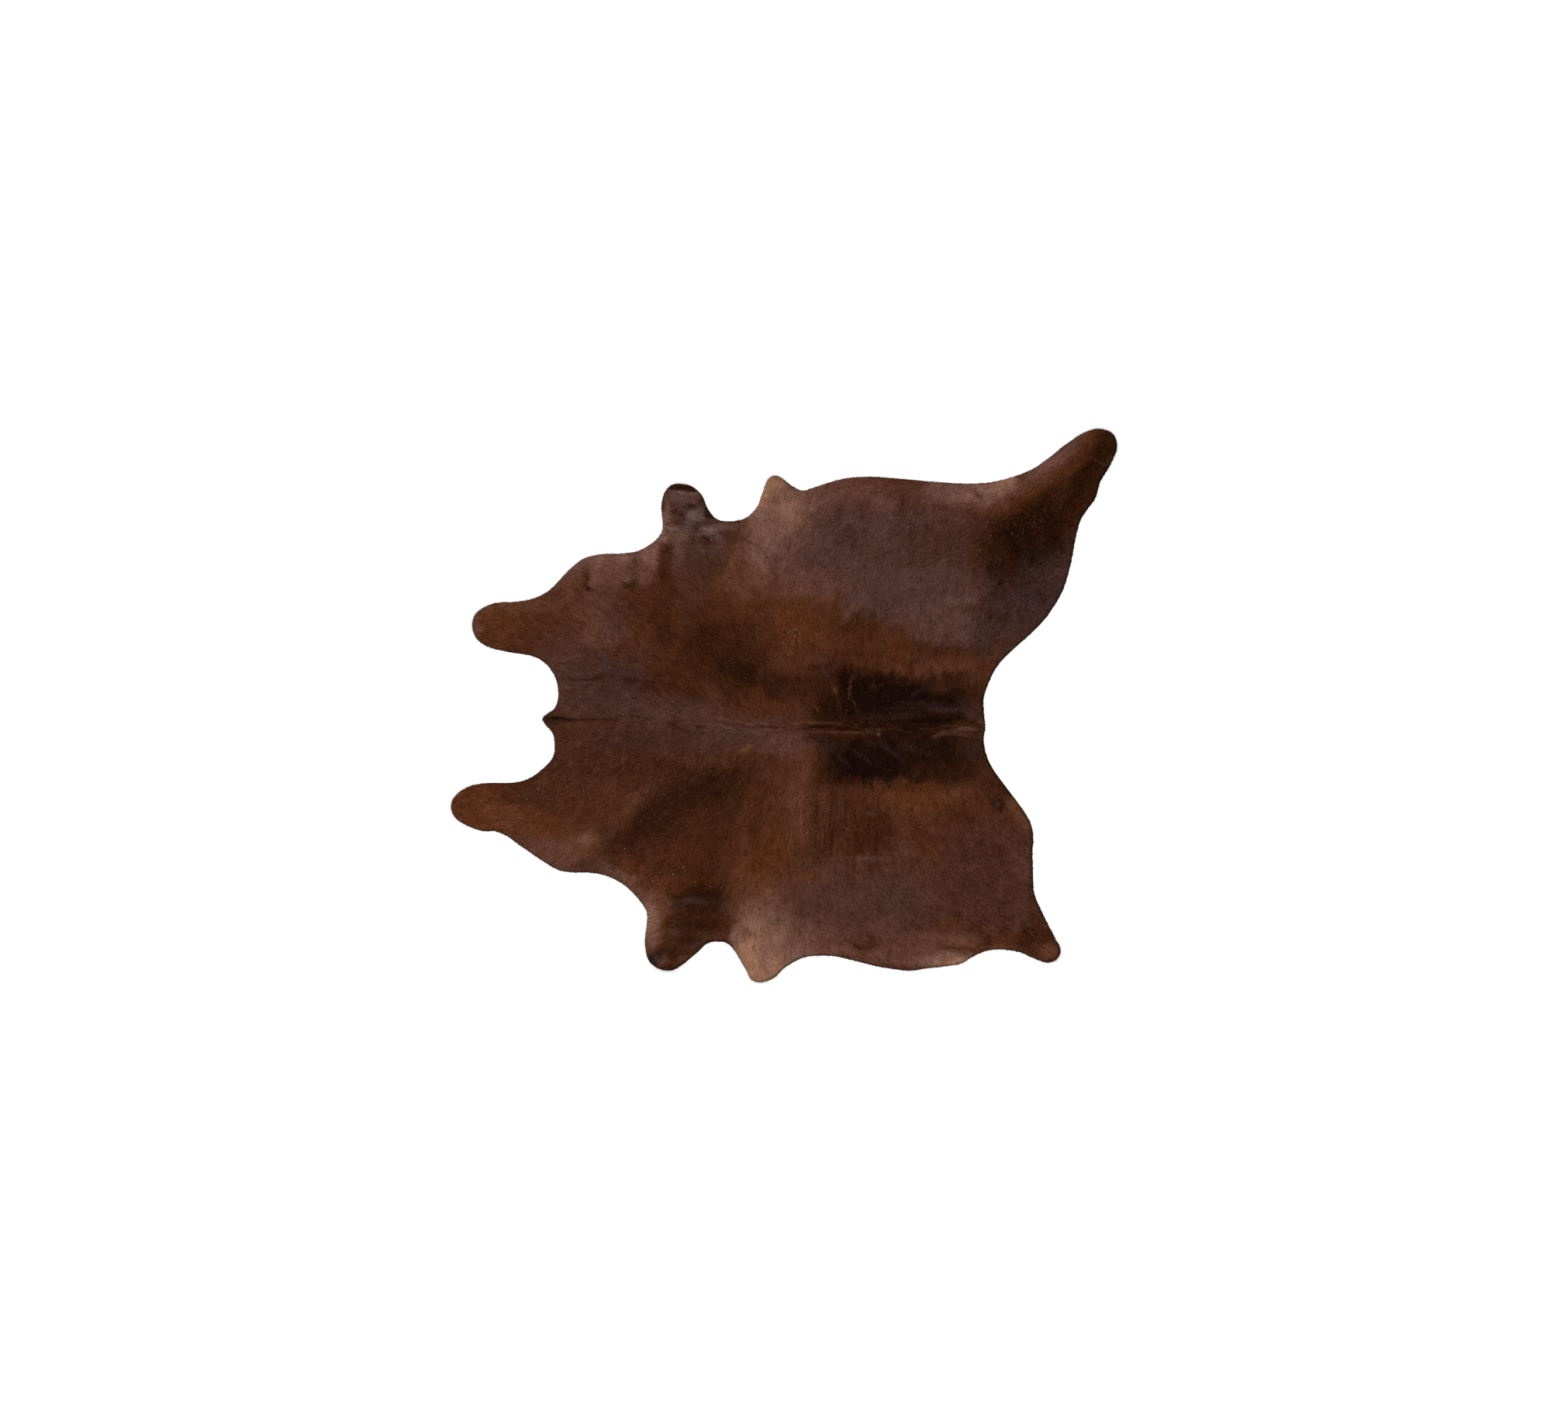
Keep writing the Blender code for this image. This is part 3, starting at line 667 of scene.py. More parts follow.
    ("walnut", 0.5, 268, -787, 40, 26),
    ("umber", 0.7, 232, -790, 36, 5, -32),
    ("rosewood", 0.5, 262, -778, 14, 14),
    ("walnut", 0.6, 282, -790, 26, 22, -40),
    ("umber", 0.5, 345, -820, 20, 5, 60),
    ("blush", 0.85, 535, -840, 80, 22, 5),
    ("fawn", 0.5, 550, -848, 60, 14, 8),
    ("sand", 0.6, 576, -850, 44, 12, 12),
    ("umber", 0.5, 660, -770, 40, 20),
    ("cinnamon", 0.6, 590, -775, 46, 20, 0, 1),
    ("rosewood", 0.5, 600, -760, 26, 14),
    ("fawn", 0.5, 530, -862, 36, 8, 4),
    ("hazel", 0.5, 286, -856, 36, 9, -8),
    # left thigh and hind leg
    ("plum", 0.8, 680, -570, 150, 170, 0, 0.9),
    ("mahogany", 0.35, 600, -360, 60, 40),
    ("mahogany", 0.5, 690, -480, 34, 20),
    ("umber", 0.45, 692, -280, 36, 28, -30),
    ("cinnamon", 0.55, 772, -355, 56, 20, -60),
    ("umber", 0.6, 706, -322, 34, 20, 80),
    ("slate", 0.7, 700, -328, 16, 8, 70),
    ("sable", 0.6, 716, -336, 16, 7, 80),
    ("umber", 0.55, 815, -755, 80, 40, -45),
    ("mahogany", 0.5, 595, -366, 30, 20),
    ("rosewood", 0.35, 770, -700, 60, 18, 75),
    ("chestnut", 0.6, 735, -762, 36, 16),
    ("hazel", 0.5, 800, -720, 18, 24),
    ("umber", 0.25, 800, -788, 60, 22, -22),
    ("cinnamon", 0.5, 690, -804, 44, 10),
    ("cinnamon", 0.55, 868, -812, 34, 24),
    ("hazel", 0.5, 756, -700, 30, 20),
    ("rosewood", 0.35, 784, -540, 22, 40),
    ("umber", 0.4, 714, -262, 40, 14, -50),
    ("umber", 0.45, 738, -270, 24, 10, -50),
    ("russet", 0.5, 775, -312, 20, 34),
    ("hazel", 0.5, 827, -566, 12, 40),
    ("umber", 0.7, 797, -760, 16, 9, -20),
    ("mahogany", 0.4, 671, -764, 10, 8),
    ("umber", 0.45, 612, -739, 12, 4),
    ("cinnamon", 0.6, 610, -780, 28, 12, -10),
    ("umber", 0.35, 770, -780, 16, 8),
    ("mahogany", 0.4, 830, -720, 14, 12),
    ("chestnut", 0.6, 820, -790, 12, 8),
    ("cinnamon", 0.4, 712, -797, 44, 8),
    ("russet", 0.35, 690, -775, 12, 7),
    ("mahogany", 0.5, 798, -826, 30, 8, -25),
    ("mahogany", 0.4, 884, -746, 20, 12, -60),
)

# The hair's lie on each side of the spine: x and y in mm, and its heading from root to tip, in degrees
# anticlockwise from +X. Each place rules evenly within LIE_EVEN, and its pull falls off beyond.
RIGHT_LIE = (
    # neck and cheek
    (-640, 40, 165), (-640, 240, 138), (-900, 260, 172), (-700, 380, 150),
    # shoulder and foreleg
    (-400, 80, 140), (-400, 300, 140), (-520, 450, 150), (-330, 480, 150), (-320, 650, 172),
    # ribs and flank point
    (-150, 100, 120), (-150, 400, 115), (50, 100, 98), (40, 420, 92), (260, 430, 76), (-40, 700, 90),
    # loin and belly
    (230, 30, 92), (330, 250, 84), (180, 550, 36), (400, 550, 50), (300, 710, 30),
    # croup, thigh and hind leg
    (560, 50, 76), (620, 350, 62), (600, 560, 38), (650, 700, 27), (850, 650, 50), (1020, 820, 52),
    (780, 330, 52),
)
LEFT_LIE = (
    # neck and cheek
    (-640, -150, 205), (-950, -330, 188), (-760, -450, 218),
    # shoulder and foreleg
    (-420, -200, 225), (-420, -380, 232), (-420, -560, 215), (-310, -700, 195),
    # ribs and flank point
    (-150, -250, 240), (-170, -500, 245), (50, -250, 263), (60, -560, 268), (-70, -800, 270),
    # loin and belly
    (250, -180, 270), (300, -380, 276), (160, -680, 300), (320, -680, 312), (330, -800, 322),
    # croup, thigh and hind leg
    (560, -200, 284), (620, -420, 296), (600, -650, 312), (600, -820, 330), (830, -760, 322),
    (740, -420, 300),
)
LIE_EVEN = 60.0
LIE_FALL = 1.6

# On the spine itself, a crest this wide, the hair parts at the loin and lies to the nape and to the rump.
SPINE_Y = -70.0
NAPE_SWAY = 26.0
SWAY_START, SWAY_LENGTH = -100.0, 600.0
CREST = 32.0
PARTING, PARTING_WIDTH = 200.0, 60.0
TINY = 1e-9


def spine_at(x):
    """Where the spine runs, in mm."""
    return SPINE_Y + NAPE_SWAY * smooth_step((SWAY_START - x) / SWAY_LENGTH)


def hair_heading(x, y):
    """Unit directions in which the hair lies at places in metres."""
    x, y = x / MM, y / MM
    off_spine = y - spine_at(x)
    cos, sin, total = np.zeros(len(x)), np.zeros(len(x)), np.zeros(len(x))
    for same_side, lies in ((off_spine > 0, RIGHT_LIE), (off_spine <= 0, LEFT_LIE)):
        for lie_x, lie_y, heading in lies:
            pull = same_side / ((x - lie_x) ** 2 + (y - lie_y) ** 2 + LIE_EVEN**2) ** LIE_FALL
            cos += pull * np.cos(np.radians(heading))
            sin += pull * np.sin(np.radians(heading))
            total += pull
    cos, sin = cos / total, sin / total
    along = np.exp(-((off_spine / CREST) ** 2))
    cos = cos * (1.0 - along) + along * np.tanh((x - PARTING) / PARTING_WIDTH)
    sin = sin * (1.0 - along)
    length = np.hypot(cos, sin) + TINY
    return cos / length, sin / length


STREAK_SAMPLES = 9
STREAK_GAIN = 2.6


def streaks(x, y, width, reach, seed):
    """Noise drawn out along the hair, from about -1 to 1."""
    cos, sin = hair_heading(x, y)
    steps = np.linspace(-reach, reach, STREAK_SAMPLES)
    total = sum(soft_noise(x / MM + cos * s, y / MM + sin * s, width, seed) for s in steps)
    return total / STREAK_SAMPLES * STREAK_GAIN


def linear(tone):
    """A tone as linear light, by the sRGB curve."""
    share = np.array(TONES[tone], float) / 255.0
    return np.where(share <= 0.04045, share / 12.92, ((share + 0.055) / 1.055) ** 2.4)


# How the patches' edges wander, in mm: a broad and a fine drift, and tufts drawn out along the hair.
# A narrow patch wanders less, in step with its width. At a SQUARENESS of 2 a patch would be an ellipse.
WANDER = 14.0
BROAD_DRIFT, FINE_DRIFT, FINE_SHARE = 90, 30, 0.5
FEATHER = 15.0
TUFT_WIDTH, TUFT_REACH = 8.0, 20.0
CLUMP_SPREAD, CLUMP_SHARE = 22.0, 0.9
FULL_DRIFT_WIDTH = 60.0
MOST_DRIFT = 60.0
SQUARENESS = 2.5


def paint(colour, x, y, rows):
    """Lays each row's tone over the colours, inside its soft, feathered patch."""
    cos, sin = hair_heading(x * MM, y * MM)
    tufts = FEATHER * (streaks(x * MM, y * MM, TUFT_WIDTH, TUFT_REACH, seed=31)
                       + CLUMP_SHARE * soft_noise(x, y, CLUMP_SPREAD, seed=32))
    drift_x, drift_y = (WANDER * (soft_noise(x, y, BROAD_DRIFT, seed)
                                  + FINE_SHARE * soft_noise(x, y, FINE_DRIFT, seed + 1)) + tufts * way
                        for seed, way in ((1, cos), (3, sin)))
    order = np.argsort(x)
    sorted_x = x[order]
    for tone, strength, middle_x, middle_y, half_length, half_width, *lay in rows:
        turn, softness = (*lay, *PLAIN[len(lay):])
        scale = min(1.0, half_width / FULL_DRIFT_WIDTH)
        reach = (1.0 + 0.5 * softness) * max(half_length, half_width) + MOST_DRIFT * scale
        near = order[slice(*np.searchsorted(sorted_x, (middle_x - reach, middle_x + reach)))]
        near = near[np.abs(y[near] - middle_y) < reach]
        off_x = x[near] + scale * drift_x[near] - middle_x
        off_y = y[near] + scale * drift_y[near] - middle_y
        turn_cos, turn_sin = np.cos(np.radians(turn)), np.sin(np.radians(turn))
        along = np.abs(off_x * turn_cos + off_y * turn_sin) / half_length
        across = np.abs(off_y * turn_cos - off_x * turn_sin) / half_width
        away = (along**SQUARENESS + across**SQUARENESS) ** (1 / SQUARENESS)
        cover = strength * smooth_step((1.0 - away) / softness + 0.5)[:, None]
        target = linear(tone) if tone in TONES else colour[near] * TINTS[tone]
        colour[near] += (target - colour[near]) * cover


# Fine mottles all over the coat: depth, spread in mm and seed. SELF_SHADING, SHEEN and DEEPEST turn a tone
# as it looks into the hair's own colour, since locks shade each other and have a sheen.
MOTTLES = ((0.08, 44.0, 41), (0.11, 21.0, 42), (0.09, 11.0, 43), (0.09, 6.0, 44))
MOTTLE_HUE = np.array((1.0, 1.2, 1.45))
SELF_SHADING = 0.673
SHEEN = 0.003
DEEPEST = 0.0008


def coat_colour(x, y, rows):
    """The coat's colour at places in metres, as linear light."""
    x, y = x / MM, y / MM
    colour = np.tile(linear(GROUND), (len(x), 1))
    paint(colour, x, y, rows)
    mottle = sum(depth * soft_noise(x, y, spread, seed) for depth, spread, seed in MOTTLES)[:, None]
    return np.maximum(colour * (1.0 + MOTTLE_HUE * mottle) - SHEEN, DEEPEST) / SELF_SHADING


def tint_points(mesh, colour):
    """Writes linear colours, one for each point, as the coat_tone attribute."""
    layer = mesh.color_attributes.new("coat_tone", "FLOAT_COLOR", "POINT")
    rgba = np.ones((len(colour), 4), np.float32)
    rgba[:, :3] = colour
    layer.data.foreach_set("color", rgba.ravel())


def write_vectors(mesh, name, vectors):
    """Writes one vector for each point, as an attribute of this name."""
    layer = mesh.attributes.new(name, "FLOAT_VECTOR", "POINT")
    layer.data.foreach_set("vector", vectors.astype(np.float32).ravel())


# Painted shade beside the rim: the coat is darker in a thin line on the side away from the light, and darker
# and less red in a wider band where it faces the rump. The line's shade and the band's tint are what they
# leave of the colour at most.
RIM_SHADE_LINE = 5 * MM
RIM_SHADE_LINE_MORE = 0.4
RIM_SHADE_LEFT = 0.2
RIM_LEE = (0.85, -0.53)
LEE_MIDDLE, LEE_SLOPE = 0.6, 0.5
RIM_SHADE_BAND = 21 * MM
RIM_SHADE_BAND_TINT = np.array((0.60, 0.92, 0.88))
REARWARD = (0.4, 0.8)


def painted_rim_shade(x, y):
    """Painted shade of the coat beside the rim: deepest where it faces the rump or the left flank."""
    tint = np.ones((len(x), 3))
    for i, (a, b) in enumerate(zip(x, y)):
        _, nearest, away = rim_tree.find((a, b, 0))
        if away < RIM_SHADE_BAND:
            outward = rim_out[nearest]
            facing = outward @ RIM_LEE
            lee = smooth_step(LEE_MIDDLE + LEE_SLOPE * facing)
            rearward = smooth_step((outward[0] - REARWARD[0]) / (REARWARD[1] - REARWARD[0]))
            line = RIM_SHADE_LINE * (1.0 + RIM_SHADE_LINE_MORE * facing)
            line_shade = (1.0 - RIM_SHADE_LEFT) * lee * (1.0 - smooth_step(away / line))
            band_shade = rearward * (1.0 - smooth_step(away / RIM_SHADE_BAND))
            tint[i] = (1.0 - line_shade) * (1.0 + (RIM_SHADE_BAND_TINT - 1.0) * band_shade)
    return tint


# Painted shade: the underhair between the locks is darker than the locks, as if they shaded it.
UNDERHAIR_PAINTED_SHADE = 0.78
underhair_colour = UNDERHAIR_PAINTED_SHADE * coat_colour(skin_points[:, 0], skin_points[:, 1], PATCHES)
tint_points(skin_mesh, underhair_colour * painted_rim_shade(skin_points[:, 0], skin_points[:, 1]))
cos, sin = hair_heading(skin_points[:, 0], skin_points[:, 1])
lie_turn = np.zeros((len(skin_points), 3))
lie_turn[:, 2] = np.arctan2(sin, cos)
write_vectors(skin_mesh, "lie", lie_turn)

# The bake's flat layout: strips for the flesh side, the cut edge and the hair side, from the bottom up.
FLESH_STRIP, EDGE_STRIP, HAIR_STRIP = (0.0, 0.47), (0.48, 0.50), (0.51, 1.0)
low, high = skin_points.min(0), skin_points.max(0)
corner_points = np.empty(len(skin_mesh.loops), int)
skin_mesh.loops.foreach_get("vertex_index", corner_points)
layout = ((skin_points - low) / (high - low))[corner_points, :2]
corner_side = np.repeat(face_side, np.where(face_side == CUT_EDGE, 4, 3))
for side, (start, end) in ((FLESH_SIDE, FLESH_STRIP), (HAIR_SIDE, HAIR_STRIP)):
    layout[corner_side == side, 1] = start + (end - start) * layout[corner_side == side, 1]
here = np.arange(len(rim)) / len(rim)
ahead = here + 1 / len(rim)
layout[corner_side == CUT_EDGE] = np.stack((
    np.stack((here, ahead, ahead, here), 1),
    np.tile(np.repeat(EDGE_STRIP, 2), (len(rim), 1))), 2).reshape(-1, 2)
skin_mesh.uv_layers.new(name="OFBake").data.foreach_set("uv", layout.astype(np.float32).ravel())


def add_node(tree, kind, values=(), **settings):
    """A new node with these settings, and with these values on its sockets."""
    node = tree.nodes.new(kind)
    for name, setting in settings.items():
        setattr(node, name, setting)
    for socket, value in dict(values).items():
        node.inputs[socket].default_value = value
    return node


def wire(tree, *links):
    """Links sockets: each link names a node and its output, then a node and its input."""
    for source, output, target, socket in links:
        tree.links.new(source.outputs[output], target.inputs[socket])


# Fibre grain: fine uneven shade, gloss and relief, the same effect in hair, suede and cut leather.
GRAIN_DETAIL = 4.0
GLOSS_SWING = -0.5
grain = bpy.data.node_groups.new("fibre_grain", "ShaderNodeTree")
for in_out, names in (("INPUT", {"Colour": "Color", "Vector": "Vector", "Scale": "Float", "Contrast": "Float",
                                 "Roughness": "Float", "Depth": "Float"}),
                      ("OUTPUT", {"Colour": "Color", "Roughness": "Float", "Normal": "Vector"})):
    for name, kind in names.items():
        grain.interface.new_socket(name, in_out=in_out, socket_type="NodeSocket" + kind)
given = add_node(grain, "NodeGroupInput")
made = add_node(grain, "NodeGroupOutput")
fibres = add_node(grain, "ShaderNodeTexNoise", {"Detail": GRAIN_DETAIL})
centred = add_node(grain, "ShaderNodeMath", {1: 0.5}, operation="SUBTRACT")
shade = add_node(grain, "ShaderNodeMath", {2: 1.0}, operation="MULTIPLY_ADD")
tinted = add_node(grain, "ShaderNodeVectorMath", operation="SCALE")
rubbed = add_node(grain, "ShaderNodeMath", {1: GLOSS_SWING}, operation="MULTIPLY_ADD")
bump = add_node(grain, "ShaderNodeBump")
wire(grain,
     (given, "Vector", fibres, "Vector"), (given, "Scale", fibres, "Scale"), (fibres, "Fac", centred, 0),
     (centred, 0, shade, 0), (given, "Contrast", shade, 1), (given, "Colour", tinted, 0),
     (shade, 0, tinted, "Scale"), (tinted, 0, made, "Colour"),
     (centred, 0, rubbed, 0), (given, "Roughness", rubbed, 2), (rubbed, 0, made, "Roughness"),
     (fibres, "Fac", bump, "Height"), (given, "Depth", bump, "Distance"), (bump, "Normal", made, "Normal"))


def new_material(name, specular, **grain_values):
    """A material whose colour, gloss and relief go through the fibre grain, with its nodes."""
    material = bpy.data.materials.new(name)
    material.use_nodes = True
    tree = material.node_tree
    shader = tree.nodes["Principled BSDF"]
    shader.inputs["Specular IOR Level"].default_value = specular
    fibre = add_node(tree, "ShaderNodeGroup", grain_values, node_tree=grain)
    wire(tree, (fibre, "Colour", shader, "Base Color"), (fibre, "Roughness", shader, "Roughness"),
         (fibre, "Normal", shader, "Normal"))
    return material, tree, fibre


# The underhair's grain is drawn out along the lie. It is laid in tiles, so that it shifts little where the
# lie turns.
LIE_TILE = 0.06
COMBED = 7.0
underhair, tree, fibre = new_material("underhair", specular=0.03, Scale=2200, Contrast=2.4, Roughness=0.8,
                                      Depth=0.3 * MM)
tone = add_node(tree, "ShaderNodeVertexColor", layer_name="coat_tone")
place = add_node(tree, "ShaderNodeTexCoord")
tile = add_node(tree, "ShaderNodeVectorMath", {1: (LIE_TILE, LIE_TILE, 1)}, operation="MODULO")
lie = add_node(tree, "ShaderNodeAttribute", attribute_name="lie")
combed = add_node(tree, "ShaderNodeMapping", {"Scale": (COMBED, 1, 1)}, vector_type="TEXTURE")
wire(tree, (tone, "Color", fibre, "Colour"), (place, "Object", tile, 0), (tile, 0, combed, "Vector"),
     (lie, "Vector", combed, "Rotation"), (combed, "Vector", fibre, "Vector"))

RAW_LEATHER = (0.16, 0.10, 0.065, 1)
cut_edge, tree, fibre = new_material("cut leather edge", specular=0.1, Colour=RAW_LEATHER, Scale=1400,
                                     Contrast=0.8, Roughness=0.9, Depth=0.3 * MM)
place = add_node(tree, "ShaderNodeTexCoord")
wire(tree, (place, "Object", fibre, "Vector"))

DARK_SUEDE, PALE_SUEDE = (0.30, 0.22, 0.155, 1), (0.50, 0.41, 0.32, 1)
flesh_side, tree, fibre = new_material("flesh side suede", specular=0.08, Scale=420, Contrast=0.35,
                                       Roughness=0.95, Depth=0.5 * MM)
place = add_node(tree, "ShaderNodeTexCoord")
stains = add_node(tree, "ShaderNodeTexNoise", {"Scale": 6, "Detail": 5})
wash = add_node(tree, "ShaderNodeMix", {"A": DARK_SUEDE, "B": PALE_SUEDE}, data_type="RGBA")
wire(tree, (place, "Object", stains, "Vector"), (place, "Object", fibre, "Vector"),
     (stains, "Fac", wash, "Factor"), (wash, "Result", fibre, "Colour"))

skin_mesh.materials.clear()
for material in (underhair, cut_edge, flesh_side):
    skin_mesh.materials.append(material)

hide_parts("hide")
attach(skin, "root")

# ----------------------------------------------------------------------------------------------
# The coat
# Short sleek hair that lies close to the skin in fine tapered locks, like shingles, with 7 to 10 mm of
# each in sight. Along the spine it follows the back, and from there it sweeps down both sides and along
# the legs. Each lock is rooted in the skin, and the coat is parted in five sections across the hide.

# Marks strewn over the coat: tone, strength, x, y, half length and half width of the area, how many, their
# length and width in mm, their turn in degrees, and how much the turn varies.
SPOTS = (
    # dark mottles
    ("grime", 0.35, 0, 0, 1050, 850, 160, 9, 6, 0, 90),
    ("grime", 0.8, 800, 400, 140, 110, 110, 12, 8, 60, 60),
    ("grime", 0.8, 690, 300, 110, 100, 80, 12, 8, 60, 60),
    ("grime", 0.6, 650, -580, 170, 150, 110, 14, 9, 0, 90),
    ("grime", 0.8, 740, -735, 110, 60, 60, 14, 9, 0, 90),
    ("grime", 0.6, 450, -650, 160, 90, 50, 14, 9, 0, 90),
    ("grime", 0.3, 300, 560, 260, 130, 40, 12, 8, 60, 60),
    ("grime", 0.7, -560, 90, 160, 130, 60, 14, 7, 0, 30),
    ("grime", 0.7, -320, -240, 200, 100, 50, 13, 8, 20, 60),
    ("grime", 0.6, -560, -250, 200, 160, 60, 13, 8, 20, 60),
    ("grime", 0.9, -300, 560, 110, 100, 26, 20, 12, 0, 60),
    ("grime", 0.6, -560, 450, 90, 50, 20, 12, 4, 70, 30),
    ("grime", 0.7, 780, 560, 170, 130, 120, 16, 10, 40, 60),
    # tan hair in the dark of both hind legs
    ("rust", 0.3, 840, 650, 150, 90, 170, 7, 5, 30, 60),
    ("rust", 0.22, 760, 560, 120, 90, 70, 7, 5, 30, 60),
    ("rust", 0.35, 690, -730, 180, 60, 120, 7, 5, 30, 60),
    # fine wrinkles, painted as light and shade: dark lines in their creases and paler lines on their ridges
    ("umber", 1, 210, -385, 120, 80, 22, 150, 6, 88, 2),
    ("umber", 0.55, 120, -420, 240, 160, 50, 100, 4, 87, 4),
    ("cinnamon", 0.4, 150, -400, 260, 160, 60, 80, 4, 87, 5),
    ("cinnamon", 0.45, -600, -190, 150, 110, 36, 40, 4.5, 88, 8),
    ("cinnamon", 0.35, 250, -72, 330, 18, 40, 36, 3, -3, 8),
    ("umber", 0.6, 80, -72, 380, 14, 44, 44, 4, 0, 7),
    ("grime", 0.6, 380, 260, 240, 90, 50, 60, 4, 88, 5),
    ("grime", 0.7, 450, 600, 100, 110, 36, 50, 4.5, 86, 8),
    ("grime", 0.6, 640, 600, 50, 100, 16, 50, 4, 80, 8),
    # short dark streaks
    ("grime", 0.45, -100, 300, 300, 200, 60, 26, 8, 110, 30),
    ("grime", 0.45, -600, 0, 150, 300, 60, 26, 8, 170, 30),
    ("grime", 0.45, 400, 500, 300, 200, 80, 26, 8, 60, 30),
    ("grime", 0.45, 400, -560, 350, 250, 110, 26, 8, 110, 40),
    ("grime", 0.45, -250, -400, 300, 250, 80, 26, 8, 60, 30),
    # lilac smears of painted sheen
    ("bloom", 0.45, 0, 0, 1050, 850, 260, 20, 9, 0, 90),
    ("bloom", 0.5, 800, 400, 140, 120, 40, 20, 9, 60, 60),
    ("bloom", 0.4, 300, 560, 280, 150, 50, 24, 10, 0, 90),
    ("bloom", 0.45, 560, -560, 240, 180, 60, 24, 10, 0, 90),
    ("bloom", 0.6, -300, 560, 110, 100, 26, 24, 10, 0, 60),
)
SPOT_SIZE = (0.5, 1.5)
SPOT_STRENGTH = (0.5, 1.2)


def scattered(rows):
    """Patch rows for marks strewn over each area at random."""
    rng = np.random.default_rng(seed=8)
    spots = []
    for tone, strength, x, y, half_length, half_width, count, length, width, turn, spread in rows:
        radius, angle = np.sqrt(rng.random(count)), rng.uniform(0, 2 * np.pi, count)
        size = rng.uniform(*SPOT_SIZE, count)
        across, up = x + half_length * radius * np.cos(angle), y + half_width * radius * np.sin(angle)
        for k in range(count):
            spots.append((tone, strength * rng.uniform(*SPOT_STRENGTH), across[k], up[k],
                          0.5 * length * size[k], 0.5 * width * size[k] ** 0.5, turn + spread * rng.normal()))
    return spots


# Pale flecks in the coat: tone, strength, x, y, half length and half width of the area in mm, and how many.
# A glint is a painted highlight: two bright flecks in one spot.
FLECKS = (
    ("straw", 0.28, 0, 0, 1100, 900, 1500),
    ("straw", 0.32, -580, -230, 220, 150, 220),
    ("tan", 0.4, -640, 200, 200, 160, 160),
    ("chalk", 0.15, 0, 0, 1100, 900, 70),
    ("straw", 0.35, -300, -60, 240, 40, 110),
    ("straw", 0.35, -700, -460, 140, 80, 110),
    ("chalk", 0.14, -430, -280, 190, 130, 20),
    ("straw", 0.35, -400, -300, 220, 170, 150),
    ("tan", 0.5, -360, -300, 170, 150, 60),
    ("straw", 0.3, -700, 300, 150, 90, 110),
    ("straw", 0.25, -300, 620, 90, 110, 30),
    ("tan", 0.4, -150, 160, 140, 110, 90),
    ("straw", 0.25, 200, 650, 220, 70, 90),
    ("tan", 0.3, 830, 650, 150, 90, 150),
    ("tan", 0.22, 780, 520, 130, 90, 50),
    ("chalk", 0.2, 690, 560, 150, 90, 16),
    ("chalk", 0.5, 34, 240, 22, 14, 12),
    ("chalk", 0.3, 45, 250, 40, 50, 16),
    ("straw", 0.5, 10, 190, 30, 30, 22),
    ("straw", 0.25, 400, -790, 260, 60, 130),
    ("tan", 0.45, 690, -740, 190, 60, 170),
    ("straw", 0.3, -80, -800, 90, 100, 40),
    ("tan", 1, -280, -698, 2, 2, 2),
    ("chalk", 0.5, -809, -272, 3, 4, 3),
    ("chalk", 0.5, -903, -430, 3, 8, 5),
    ("chalk", 0.35, -340, -534, 12, 3, 7),
    ("chalk", 0.3, 635, 495, 3, 5, 3),
    ("tan", 0.9, 911, 653, 3, 3, 2),
    ("tan", 0.75, 710, -303, 3, 3, 2),
)
GLINTS = (
    (-295, 668), (-237, 549), (-433, -580), (-290, -582), (-243, -597), (-365, -560),
    (-1000, -312), (-846, -310), (-1067, -375), (-470, -383), (-523, -471), (-570, -546),
    (670, 605), (683, 560), (637, -405),
)
FLECKS += tuple(("chalk", 0.5, x, y, 3, 3, 2) for x, y in GLINTS)
FLECK_SPREAD = 0.45

# Locks are rooted this far apart, give or take half of it, and each fleck is one small pale lock more.
LOCK_PITCH = 3.42 * MM

rng = np.random.default_rng(seed=5)
root_x, root_y = np.meshgrid(np.arange(low[0], high[0], LOCK_PITCH), np.arange(low[1], high[1], LOCK_PITCH))
root_x = root_x.ravel() + rng.uniform(-0.5, 0.5, root_x.size) * LOCK_PITCH
root_y = root_y.ravel() + rng.uniform(-0.5, 0.5, root_y.size) * LOCK_PITCH
fleck_x, fleck_y, fleck_tone, fleck_share = [], [], [], []
for tone, strength, x, y, half_length, half_width, flecks in FLECKS:
    radius, angle = np.sqrt(rng.random(flecks)), rng.uniform(0, 2 * np.pi, flecks)
    fleck_x.append((x + half_length * radius * np.cos(angle)) * MM)
    fleck_y.append((y + half_width * radius * np.sin(angle)) * MM)
    fleck_tone.append(np.tile(linear(tone), (flecks, 1)))
    fleck_share.append(np.minimum(1.0, strength * rng.lognormal(0, FLECK_SPREAD, flecks)))
hairs = len(root_x)
root_x, root_y = np.concatenate([root_x] + fleck_x), np.concatenate([root_y] + fleck_y)
fleck_tone = np.vstack([np.zeros((hairs, 3))] + fleck_tone)
fleck_share = np.concatenate([np.zeros(hairs)] + fleck_share)

skin_tree = BVHTree.FromObject(skin, bpy.context.evaluated_depsgraph_get())
root_z = drop(skin_tree, root_x, root_y)
on_skin = ~np.isnan(root_z)
root_x, root_y, root_z = root_x[on_skin], root_y[on_skin], root_z[on_skin]
fleck_tone, fleck_share = fleck_tone[on_skin], fleck_share[on_skin, None]
is_fleck = fleck_share[:, 0] > 0.0

